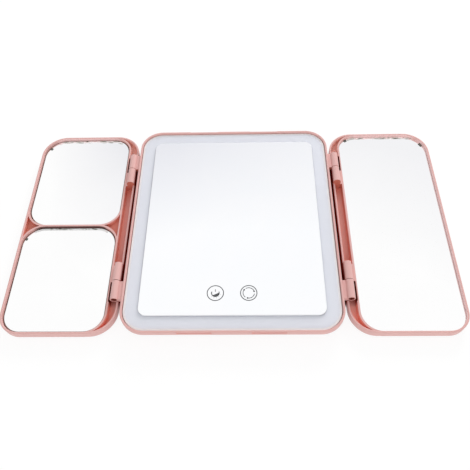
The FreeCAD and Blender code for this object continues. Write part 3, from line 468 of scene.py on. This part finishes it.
# %% Rose surface
EDGE_SOFTNESS = 0.35 * MM
SHINE = 0.5
grain = add(rose, "TexNoise", {"Vector": place, "Scale": per_mm(0.3), "Detail": 3.0, "Roughness": 0.6})
sheen = add(rose, "MapRange", {"Value": grain.outputs["Fac"], "To Min": 0.34, "To Max": 0.5})
gloss = add(rose, "Math", {0: mask["shining"], 1: SHINE}, operation="MULTIPLY")
softened = add(rose, "Bevel", {"Radius": EDGE_SOFTNESS}, samples=6)
relief = {"Strength": 0.25, "Distance": 0.03 * MM, "Normal": softened.outputs["Normal"]}
pitted = add(rose, "Bump", {"Height": grain.outputs["Fac"], **relief})
shader = add(
    rose,
    "BsdfPrincipled",
    {
        "Base Color": rose_colour_and_shade,
        "Roughness": sheen.outputs[0],
        "IOR": 1.53,
        "Specular IOR Level": gloss.outputs[0],
        "Normal": pitted.outputs["Normal"],
    },
)
add(rose, "OutputMaterial", {"Surface": shader.outputs[0]})
dress("rose_plastic", rose)

# %% [markdown]
# ## Opal light plate
# The pale band round the centre mirror is the edge of an opal acrylic plate that spreads the light of the
# LEDs under it. The LEDs are off, so the plate only shows its own bluish white. Light enters such a plate
# and wanders some millimetres before it leaves, which a subsurface share gives. Beside the mirror's edge
# less light gets in, and an ambient occlusion node paints the plate greyer there as painted shade. Along
# its outer edge the plate is painted paler as painted light: the distance past an inner box of the plate
# finds that edge and follows its round corners.

# %% Opal plate finish
PLATE_CORNER = 15.9 * MM
LIP_START, LIP_FULL = 1.9 * MM, 0.9 * MM
FOOT_SHADE = 9 * MM
FOOT_DARK, FOOT_CLEAR = 0.45, 0.95  # shares of open sky
plate_low, plate_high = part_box("light_diffuser")
half_plate = (plate_high - plate_low) / 2
inner_box = (half_plate.x - PLATE_CORNER, half_plate.y - PLATE_CORNER, 1)

opal, place = new_finish("opal_acrylic")
haze = add(opal, "TexNoise", {"Vector": place, "Scale": per_mm(45), "Detail": 1.0})
milk = add(
    opal,
    "Mix",
    {FACTOR: haze.outputs["Fac"], FIRST: linear("#EAECF7"), SECOND: linear("#E5E8F2")},
    data_type="RGBA",
)
# Painted light: a paler band along the plate's outer edge
limits = {"From Min": PLATE_CORNER - LIP_START, "From Max": PLATE_CORNER - LIP_FULL}
lip = add(opal, "MapRange", {"Value": past_box(opal, place, inner_box), **limits})
pale = add(
    opal,
    "Mix",
    {FACTOR: lip.outputs[0], FIRST: milk.outputs[BLENDED], SECOND: linear("#FCFAFA")},
    data_type="RGBA",
)
# Painted shade: the plate is greyer where the mirror's edge stands beside it
beside = add(opal, "AmbientOcclusion", {"Distance": FOOT_SHADE}, samples=8).outputs["AO"]
open_sky = add(opal, "MapRange", {"Value": beside, "From Min": FOOT_DARK, "From Max": FOOT_CLEAR})
clear_of = add(opal, "Math", {0: open_sky.outputs[0], 1: lip.outputs[0]}, operation="MAXIMUM")
toned = add(
    opal,
    "Mix",
    {FACTOR: clear_of.outputs[0], FIRST: linear("#C6C8D2"), SECOND: pale.outputs[BLENDED]},
    data_type="RGBA",
)
frost = add(opal, "TexNoise", {"Vector": place, "Scale": per_mm(0.4), "Detail": 2.0})
frosted = add(opal, "Bump", {"Height": frost.outputs["Fac"], "Strength": 0.12, "Distance": 0.02 * MM})
shader = add(
    opal,
    "BsdfPrincipled",
    {
        "Base Color": toned.outputs[BLENDED],
        "Roughness": 0.38,
        "IOR": 1.49,
        "Subsurface Weight": 0.5,
        "Subsurface Radius": (1.0, 1.0, 1.0),
        "Subsurface Scale": 4 * MM,
        "Normal": frosted.outputs["Normal"],
    },
)
add(opal, "OutputMaterial", {"Surface": shader.outputs[0]})
dress("opal_plastic", opal)

# %% [markdown]
# ## Silvered glass
# A mirror is a sheet of float glass with silver behind it. To the eye it is a nearly perfect reflector, so
# it is shaded as a polished metal in the pale tint of its glass. The centre mirror is thinner and slightly
# bluer than the wings' mirrors. A faint film of touch and polish changes the sharpness of the reflection
# over a few centimetres.

# %% Silvered glass finishes
def silvered(name, clear, filmed):
    """A mirror in two tints, with a film that blurs it a little."""
    glass, place = new_finish(name)
    film = add(glass, "TexNoise", {"Vector": place, "Scale": per_mm(38), "Detail": 4.0, "Distortion": 0.6})
    tint = add(
        glass,
        "Mix",
        {FACTOR: film.outputs["Fac"], FIRST: linear(clear), SECOND: linear(filmed)},
        data_type="RGBA",
    )
    blur = add(glass, "MapRange", {"Value": film.outputs["Fac"], "To Min": 0.01, "To Max": 0.05})
    shader = add(
        glass,
        "BsdfPrincipled",
        {"Base Color": tint.outputs[BLENDED], "Metallic": 1.0, "Roughness": blur.outputs[0]},
    )
    add(glass, "OutputMaterial", {"Surface": shader.outputs[0]})
    return glass


wing_silver = silvered("silvered_glass_wing", "#FFFFFF", "#FCFCFC")
centre_silver = silvered("silvered_glass_centre", "#FEFEFF", "#FAFCFF")
print(wing_silver.name, centre_silver.name)

# %% [markdown]
# ## Edges of the glass
# The wings' plates are only cut to shape, and their sharp edges are taken off with a stone: that leaves a
# thin grey ground line. On the left plates the line is painted dark grey, partly the ground edge and partly
# a painted shade of the gap beside it, and on the right plate it is paler. Here and there a whole chip is
# missing, and the dark shade of its hollow is painted onto the flat plate. The centre plate is polished all
# round, so its edge is a clean pale glass. All of these drift between two colours over patches of some
# size, as most plain surfaces do, so one function makes such a finish.

# %% Glass edge finishes
GLASS_IOR, PLAIN_IOR = 1.52, 1.5


def two_tone(name, first, second, pattern, roughness, relief=0.0, detail=3.0, ior=PLAIN_IOR):
    """A finish that drifts between two colours over patches of pattern mm, with a relief in mm."""
    finish, place = new_finish(name)
    patches = add(finish, "TexNoise", {"Vector": place, "Scale": per_mm(pattern), "Detail": detail})
    tone = add(
        finish,
        "Mix",
        {FACTOR: patches.outputs["Fac"], FIRST: linear(first), SECOND: linear(second)},
        data_type="RGBA",
    )
    sockets = {"Base Color": tone.outputs[BLENDED], "Roughness": roughness, "IOR": ior}
    if relief:
        height = {"Height": patches.outputs["Fac"], "Strength": 0.4, "Distance": relief * MM}
        sockets["Normal"] = add(finish, "Bump", height).outputs["Normal"]
    shader = add(finish, "BsdfPrincipled", sockets)
    add(finish, "OutputMaterial", {"Surface": shader.outputs[0]})
    return finish


# Dull grey lines of a stone, with fine scratches
# The left plates' darker tones are partly a painted shade of the gap beside the glass
ground = two_tone("ground_glass_edge", "#6E5B55", "#B9AFA6", 1.4, 0.5, ior=GLASS_IOR)
pale_ground = two_tone("pale_ground_glass_edge", "#B59C97", "#E2D6D2", 1.4, 0.5, ior=GLASS_IOR)
# A painted dark hollow: the shade of a chip, laid on the flat plate, with a wet shine
chipped = two_tone("chipped_glass", "#2E2A27", "#7C7F74", 0.8, 0.25, detail=2.0, ior=GLASS_IOR)
# Nearly white and smooth
polished = two_tone("polished_glass_edge", "#FBFCFD", "#F1F6F7", 12, 0.12, detail=1.0, ior=GLASS_IOR)
print(ground.name, pale_ground.name, chipped.name, polished.name)

# %% [markdown]
# ## Flaked silver
# Along the far edges of the wings' plates the silver has come loose, in dark, grey-green and white flecks
# about 2 mm wide and three times as long. A stretched noise with two steps gives the three tones, and a
# bump tilts the flecks to all angles. The white ones still mirror, apart from those beside the divider,
# which are paler and dull.

# %% Flaked silver finishes
FLECK_STEP = 0.1
FLECK_STRETCH = (0.3, 1, 1)


def flaked_silver(name, dull_start, bright_start, mirroring):
    """Flecks whose noise turns from dark to dull to bright; the bright ones can mirror."""
    finish, place = new_finish(name)
    along = add(finish, "Mapping", {"Vector": place, "Scale": FLECK_STRETCH})
    texture = {"Scale": per_mm(2.0), "Detail": 4.0, "Distortion": 0.8}
    noise = add(finish, "TexNoise", {"Vector": along.outputs[0], **texture}).outputs["Fac"]
    colour = linear("#5B504B")
    for start, code in ((dull_start, "#C4C7BE"), (bright_start, "#FFFFFF")):
        step = add(finish, "MapRange", {"Value": noise, "From Min": start, "From Max": start + FLECK_STEP})
        blend = {FACTOR: step.outputs[0], FIRST: colour, SECOND: linear(code)}
        colour = add(finish, "Mix", blend, data_type="RGBA").outputs[BLENDED]
    bright = step.outputs[0]
    tilted = add(finish, "Bump", {"Height": noise, "Strength": 0.8, "Distance": 0.5 * MM})
    shader = add(
        finish,
        "BsdfPrincipled",
        {
            "Base Color": colour,
            "Metallic": bright if mirroring else 0.0,
            "Roughness": 0.2,
            "Normal": tilted.outputs["Normal"],
        },
    )
    add(finish, "OutputMaterial", {"Surface": shader.outputs[0]})
    return finish


flaked = flaked_silver("flaked_silver", 0.31, 0.43, mirroring=True)
pale_flaked = flaked_silver("pale_flaked_silver", 0.31, 0.39, mirroring=False)
print(flaked.name, pale_flaked.name)

# %% [markdown]
# ## Modelling in edit mode
# New pieces are shaped with Blender's own operators, as by hand. Operators act on what is selected, so a
# small function selects vertices, edges or faces by a test on their place.

# %% Selecting
MERGE_GAP = 0.001 * MM


def pick(piece, kind, test):
    """In edit mode, selects only the vertices, edges or faces that pass a test."""
    bpy.ops.mesh.select_mode(type=kind)
    bpy.ops.mesh.select_all(action="DESELECT")
    shape = bmesh.from_edit_mesh(piece.data)
    items = {"VERT": shape.verts, "EDGE": shape.edges, "FACE": shape.faces}[kind]
    for item in items:
        if test(item):
            item.select_set(True)
    shape.select_flush_mode()
    bmesh.update_edit_mesh(piece.data)


def close_up():
    """Merges doubles and turns every face outwards."""
    bpy.ops.mesh.select_all(action="SELECT")
    bpy.ops.mesh.remove_doubles(threshold=MERGE_GAP)
    bpy.ops.mesh.normals_make_consistent(inside=False)


print("helpers for selecting ready")

# %% [markdown]
# ## Glass plates
# Each mirror could keep its CAD plate, but that has razor-sharp edges and one finish all over. Here a plane
# of the plate's size gets its corners rounded, each with its own radius, is cut into short lengths round
# its outline and extruded to the glass's thickness. Its upper edge is bevelled, like an edge taken off by
# hand, and the top is inset to a narrow ring. The ring's faces along the far edge of a wing plate are the
# flaked ones, and the few faces at a chip are the dark ones.

# %% Outline of a plate
SHORT_LENGTH = 1.6 * MM
CORNER_STEPS = 20
LONG_SIDE = 20 * MM
NEAR_FLAT = 0.01 * MM


def outlined(node, radii, depth, spread):
    """A flat plate in edit mode: a CAD node's outline grown by spread and sunk by depth, all in mm.

    The radii start at its near left corner.
    """
    low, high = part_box(node)
    low -= Vector((spread, spread, 0)) * MM
    high += Vector((spread, spread, -depth)) * MM
    start_empty()
    bpy.ops.mesh.primitive_plane_add(size=1, location=((low.x + high.x) / 2, (low.y + high.y) / 2, high.z))
    plate = bpy.context.object
    plate.name = node + "_plate"
    bpy.ops.transform.resize(value=(high.x - low.x, high.y - low.y, 1))
    bpy.ops.object.transform_apply(location=True, rotation=True, scale=True)
    bpy.ops.object.mode_set(mode="EDIT")
    corners = [(low.x, low.y), (high.x, low.y), (high.x, high.y), (low.x, high.y)]
    for (x, y), radius in zip(corners, radii):
        pick(plate, "VERT", lambda v: math.hypot(v.co.x - x, v.co.y - y) < NEAR_FLAT)
        bpy.ops.mesh.bevel(offset=radius * MM, segments=CORNER_STEPS, affect="VERTICES")
    for _ in corners:
        whole = next(e for e in bmesh.from_edit_mesh(plate.data).edges if e.calc_length() > LONG_SIDE)
        chosen, cuts = whole.index, int(whole.calc_length() / SHORT_LENGTH)
        pick(plate, "EDGE", lambda e: e.index == chosen)
        bpy.ops.mesh.subdivide(number_cuts=cuts)
    return plate, low, high


print("plates have sides in lengths of", SHORT_LENGTH / MM, "mm")

# %% Glass plate function
FLAKE_DEPTH = 2.4 * MM
FLAKE_REACH = 4.0 * MM
CHIP_REACH = 1.5 * MM
LEVEL = 0.999  # the upward part of a level face's normal
SILVER, EDGE, FLAKED, CHIPPED = range(4)


def glass_plate(node, radii, silver, edge, arris, depth, spread, chips=(), flakes=flaked, ring=FLAKE_DEPTH):
    """A mirror with an arris in mm; chips are places in mm, and a plate with none has no flakes either."""
    plate, low, high = outlined(node, radii, depth, spread)
    bpy.ops.mesh.select_all(action="SELECT")
    bpy.ops.mesh.extrude_region_move(TRANSFORM_OT_translate={"value": (0, 0, low.z - high.z)})
    close_up()
    pick(plate, "EDGE", lambda e: all(v.co.z > high.z - NEAR_FLAT for v in e.verts))
    bpy.ops.mesh.bevel(offset=arris * MM, segments=2, affect="EDGES")
    pick(plate, "FACE", lambda f: f.normal.z > LEVEL)
    bpy.ops.mesh.inset(thickness=ring)
    bpy.ops.object.mode_set(mode="OBJECT")
    for finish in (silver, edge, flakes, chipped):
        plate.data.materials.append(finish)
    for face in plate.data.polygons:
        gaps = [math.hypot(face.center.x - x * MM, face.center.y - y * MM) for x, y in chips]
        inside_ring = len(face.vertices) > 4
        if face.normal.z < LEVEL:
            face.material_index = EDGE
        elif inside_ring or not chips:
            face.material_index = SILVER
        elif min(gaps) < CHIP_REACH:
            face.material_index = CHIPPED
        elif face.center.y > high.y - FLAKE_REACH:
            face.material_index = FLAKED
    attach(plate, frame["nodes"][node]["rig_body"])
    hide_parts(node)
    print(plate.name, len(plate.data.polygons), "faces")


print("flakes reach", FLAKE_REACH / MM, "mm in from a far edge")

# %% [markdown]
# ## The four mirrors
# The wings' glass reflects from the silver on its back, so their plates are drawn as deep as that silver
# lies, and the rims are mirrored where the eye expects it. The left plates have a broad stoned edge. The
# right one fills its well a little more and has a finer edge. Under the divider the band of flakes is
# narrower, and its flecks are the pale ones. The centre plate lies at the top of its glass, with small even
# corners.

# %% Wing and centre plates
BACK, FRONT, HINGE, DIVIDER, CENTRE = 17.9, 13.9, 14.5, 16.0, 6.0  # corner radii in mm
SILVER_DEPTH = 1.4
LOWER_FLAKE_DEPTH = 1.7 * MM
UPPER_CHIPS, LOWER_CHIPS = [(-162.8, 81.8)], [(-164.4, -12.8)]
RIGHT_CHIPS = [(98.3, 87.1), (163.0, 81.4)]
left_glass = {"silver": wing_silver, "edge": ground, "arris": 0.6, "depth": SILVER_DEPTH, "spread": 0}
right_glass = {"silver": wing_silver, "edge": pale_ground, "arris": 0.2, "depth": SILVER_DEPTH, "spread": 0.4}
centre_glass = {"silver": centre_silver, "edge": polished, "arris": 0.25, "depth": 0, "spread": 0}
lower_flakes = {"flakes": pale_flaked, "ring": LOWER_FLAKE_DEPTH}
glass_plate("left_upper_mirror", (DIVIDER, DIVIDER, HINGE, BACK), chips=UPPER_CHIPS, **left_glass)
glass_plate(
    "left_lower_mirror",
    (FRONT, HINGE, DIVIDER, DIVIDER),
    chips=LOWER_CHIPS,
    **left_glass,
    **lower_flakes,
)
glass_plate("right_mirror", (HINGE, FRONT, BACK, HINGE), chips=RIGHT_CHIPS, **right_glass)
glass_plate("centre_mirror", (CENTRE,) * 4, **centre_glass)

# %% [markdown]
# ## Touch marks
# Two signs near the mirror's near edge show where to touch: one switches the light, the other changes its
# colour. They are left clear in the silver, so they look like thin grey print. Each is drawn flat from
# circles that are inset to rings and trimmed to arcs, and then gets the thickness of a coat of ink.

# %% Mark finish
# Matt grey, a little worn
ink = two_tone("grey_mark", "#4A4B4E", "#66686B", 0.9, 0.5, detail=2.0)
print(ink.name)

# %% Mark drawing functions
RING_STEPS, SPOT_STEPS = 120, 24


def spot(centre, radius, steps=SPOT_STEPS):
    """Adds a filled disc."""
    bpy.ops.mesh.primitive_circle_add(vertices=steps, radius=radius, fill_type="NGON", location=centre)


def band(piece, centre, radius, line, arcs):
    """Adds the parts of a ring that lie in the arcs, each given as its start and its sweep in degrees."""
    bpy.ops.mesh.select_mode(type="FACE")
    spot(centre, radius, RING_STEPS)
    bpy.ops.mesh.inset(thickness=line)
    bpy.ops.mesh.delete(type="FACE")

    def outside(face):
        away = face.calc_center_median() - centre
        turn = math.degrees(math.atan2(away.y, away.x))
        inside = any((turn - start) % 360 < sweep for start, sweep in arcs)
        return abs(away.length - (radius - line / 2)) < line / 2 and not inside

    pick(piece, "FACE", outside)
    bpy.ops.mesh.delete(type="FACE")


def stroke(middle, width, length, turn=0):
    """Adds a short straight stroke, along Y before it is turned."""
    bpy.ops.mesh.primitive_plane_add(size=1, location=middle)
    bpy.ops.transform.resize(value=(width, length, 1))
    bpy.ops.transform.rotate(value=-turn, orient_axis="Z", center_override=middle)


def polar(centre, radius, degrees):
    """The point at a distance and a direction from a centre."""
    return centre + Vector((math.cos(math.radians(degrees)), math.sin(math.radians(degrees)), 0)) * radius


print("rings are drawn in", RING_STEPS, "steps")

# %% Starting and ending a mark
INK = 0.03 * MM
MARK_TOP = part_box("centre_mirror")[1].z
MARK_RING = 6.25 * MM
MARK_LINE = 0.65 * MM


def start_mark(node):
    """A new piece that holds only the outer ring, open in edit mode, and its centre."""
    low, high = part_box(node)
    centre = Vector(((low.x + high.x) / 2, (low.y + high.y) / 2, MARK_TOP))
    start_empty()
    spot(centre, MARK_RING, RING_STEPS)
    piece = bpy.context.object
    piece.name = node + "_print"
    bpy.ops.object.transform_apply(location=True, rotation=True, scale=True)
    bpy.ops.object.mode_set(mode="EDIT")
    bpy.ops.mesh.select_mode(type="FACE")
    bpy.ops.mesh.select_all(action="SELECT")
    bpy.ops.mesh.inset(thickness=MARK_LINE)
    bpy.ops.mesh.delete(type="FACE")
    return piece, centre


def end_mark(piece, node):
    """Gives the flat drawing its thickness and its finish."""
    bpy.ops.mesh.select_all(action="SELECT")
    bpy.ops.mesh.extrude_region_move(TRANSFORM_OT_translate={"value": (0, 0, INK)})
    close_up()
    bpy.ops.object.mode_set(mode="OBJECT")
    piece.data.materials.append(ink)
    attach(piece, "centre")
    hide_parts(node)
    print(piece.name, len(piece.data.polygons), "faces")


print("the marks lie at", round(MARK_TOP / MM, 2), "mm")

# %% Power sign
SIGN, SIGN_LINE, SIGN_ARC = 3.1 * MM, 0.7 * MM, (155, 230)
STEM_RISE, STEM_WIDTH, STEM_LENGTH = 2.0 * MM, 0.55 * MM, 1.9 * MM
FILL_INSET, FILL_DROP, FILL_SLOPE = 0.3 * MM, 0.9 * MM, -0.45
BEAM_GAP, BEAM_WIDTH, BEAM_LENGTH = 0.75 * MM, 0.25 * MM, 0.6 * MM
BEAM_DIRECTIONS = range(-20, -133, -28)

piece, centre = start_mark("power_mark")
band(piece, centre, SIGN, SIGN_LINE, [SIGN_ARC])
stroke(centre + Vector((0, STEM_RISE, 0)), STEM_WIDTH, STEM_LENGTH)
spot(centre, SIGN - FILL_INSET)
bpy.ops.mesh.bisect(
    plane_co=centre - Vector((0, FILL_DROP, 0)),
    plane_no=Vector((FILL_SLOPE, 1, 0)).normalized(),
    clear_outer=True,
)
for degrees in BEAM_DIRECTIONS:
    beam_middle = polar(centre, SIGN + BEAM_GAP, degrees)
    stroke(beam_middle, BEAM_WIDTH, BEAM_LENGTH, math.radians(degrees - 90))
end_mark(piece, "power_mark")

# %% Colour sign
TURN, TURN_LINE = 4.4 * MM, 0.55 * MM
TURN_ARCS = [(17, 106), (142, 92), (258, 92)]
HEAD_INSET, HEAD_RADIUS = 0.3 * MM, 0.62 * MM

piece, centre = start_mark("colour_mark")
band(piece, centre, TURN, TURN_LINE, TURN_ARCS)
for start, sweep in TURN_ARCS:
    spot(polar(centre, TURN - HEAD_INSET, start), HEAD_RADIUS)
end_mark(piece, "colour_mark")

# %% [markdown]
# ## Steel and rubber
# The hinge pins, screws and charging socket are plated steel. Drawn and rolled steel has fine lines along
# its length, so the noise is stretched along Y. The feet are soft rubber with a dusty, dead matt skin.

# %% Steel and rubber finishes
DRAWN = (1, 0.06, 1)


def steel(name, bright, dull, roughness):
    """Plated steel with fine lines along Y."""
    metal, place = new_finish(name)
    lines = add(metal, "Mapping", {"Vector": place, "Scale": DRAWN})
    drawn = add(metal, "TexNoise", {"Vector": lines.outputs[0], "Scale": per_mm(0.25), "Detail": 2.0})
    tone = add(
        metal,
        "Mix",
        {FACTOR: drawn.outputs["Fac"], FIRST: linear(bright), SECOND: linear(dull)},
        data_type="RGBA",
    )
    shader = add(
        metal,
        "BsdfPrincipled",
        {"Base Color": tone.outputs[BLENDED], "Metallic": 1.0, "Roughness": roughness},
    )
    add(metal, "OutputMaterial", {"Surface": shader.outputs[0]})
    return metal


dress("pin_steel", steel("drawn_pin_steel", "#D9D3CE", "#B4ABA6", 0.28))
dress("screw_steel", steel("zinc_plated_steel", "#C9CBCE", "#9FA2A6", 0.35))
dress("socket_steel", steel("rolled_socket_steel", "#D5D6D8", "#AEB0B3", 0.3))
# A dusty old rose that hardly shines
dress("soft_rubber", two_tone("soft_foot_rubber", "#8E5F5A", "#A87872", 1.2, 0.85, detail=4.0))

# %% [markdown]
# ## Tape, film and foam
# The mirrors are stuck down with closed-cell foam tape, a white film behind the opal plate sends the light
# forward, and black conductive foam carries a touch from the glass to the board. All are soft sheets: matt,
# with a fine cell or fibre pattern. They differ only in colours, pattern size and relief.

# %% Tape, film and foam finishes
# Small pale cells, dead matt
dress("foam_tape", two_tone("closed_cell_foam_tape", "#DEDEDA", "#C6C6C0", 0.6, 0.9, 0.15))
# Smooth and bright, with a faint waviness
dress("white_film", two_tone("white_polyester_film", "#F2F2F2", "#E6E6E9", 20, 0.35, 0.05))
# Open black cells that hardly shine
dress("conductive_foam", two_tone("carbon_filled_foam", "#232325", "#3B3B3E", 0.5, 0.95, 0.2))

# %% [markdown]
# ## Boards, chips and lights
# The LED strips are aluminium boards under a white lacquer, and the control boards are glass-fibre boards
# under a green one, whose copper tracks show as paler lines. A brick pattern with long bricks gives such
# tracks. The chips are pressed from black epoxy, and each LED is a drop of yellow phosphor gel, smooth and
# glossy.

# %% Board, chip and light finishes
TRACK_SPACING, TRACK_LENGTH, TRACK_WIDTH = 1.2, 9.0, 0.12  # in mm
board, place = new_finish("green_lacquered_board")
tracks = add(
    board,
    "TexBrick",
    {
        "Vector": place,
        "Color1": linear("#14502B"),
        "Color2": linear("#124626"),
        "Mortar": linear("#2C7A48"),
        "Scale": per_mm(1),
        "Mortar Size": TRACK_WIDTH,
        "Brick Width": TRACK_LENGTH,
        "Row Height": TRACK_SPACING,
    },
)
shader = add(board, "BsdfPrincipled", {"Base Color": tracks.outputs["Color"], "Roughness": 0.35})
add(board, "OutputMaterial", {"Surface": shader.outputs[0]})
dress("green_board", board)
# A warm white lacquer, slightly uneven
dress("white_board", two_tone("white_lacquered_board", "#F0F0EC", "#E2E2DC", 4, 0.4, 0.02))
# Fine black grain with a dull shine
dress("black_chip", two_tone("black_epoxy", "#1C1C1E", "#2B2B2D", 0.4, 0.55, 0.03))
# Egg-yolk yellow, glossy as gel
dress("led_phosphor", two_tone("phosphor_gel", "#F2D24E", "#E0B834", 0.5, 0.18, 0.02))

# %% [markdown]
# ## Battery, leads and charge light
# The flat cell is wrapped in laminated aluminium foil, whose soft creases scatter its shine. The leads are
# PVC, and the charge light looks out through a small clear polycarbonate pipe with a few moulding swirls in
# it.

# %% Battery and lead finishes
foil, place = new_finish("laminated_aluminium_foil")
creases = add(foil, "TexNoise", {"Vector": place, "Scale": per_mm(7), "Detail": 5.0, "Distortion": 0.8})
silver_tone = add(
    foil,
    "Mix",
    {FACTOR: creases.outputs["Fac"], FIRST: linear("#D2D4D7"), SECOND: linear("#B4B7BB")},
    data_type="RGBA",
)
creased = add(foil, "Bump", {"Height": creases.outputs["Fac"], "Strength": 0.5, "Distance": 0.2 * MM})
shader = add(
    foil,
    "BsdfPrincipled",
    {
        "Base Color": silver_tone.outputs[BLENDED],
        "Metallic": 1.0,
        "Roughness": 0.36,
        "Normal": creased.outputs["Normal"],
    },
)
add(foil, "OutputMaterial", {"Surface": shader.outputs[0]})
dress("battery_foil", foil)
# Soft shine, colour a little uneven along the lead
for slot, name, first, second in (
    ("red_lead", "red_pvc", "#B3231F", "#9B1C19"),
    ("black_lead", "black_pvc", "#1F1F20", "#2C2C2D"),
    ("white_lead", "white_pvc", "#EDEDEB", "#E0E0DD"),
):
    dress(slot, two_tone(name, first, second, 3, 0.45, 0.02))

# %% Charge light finish
# Clear as water, with swirls that dull it here and there
clear, place = new_finish("clear_polycarbonate")
swirls = add(clear, "TexNoise", {"Vector": place, "Scale": per_mm(1.5), "Detail": 2.0, "Distortion": 1.0})
smooth = add(clear, "MapRange", {"Value": swirls.outputs["Fac"], "To Min": 0.04, "To Max": 0.16})
shader = add(
    clear,
    "BsdfPrincipled",
    {
        "Base Color": linear("#F4F8FA"),
        "Roughness": smooth.outputs[0],
        "IOR": 1.58,
        "Transmission Weight": 0.9,
    },
)
add(clear, "OutputMaterial", {"Surface": shader.outputs[0]})
dress("clear_plastic", clear)
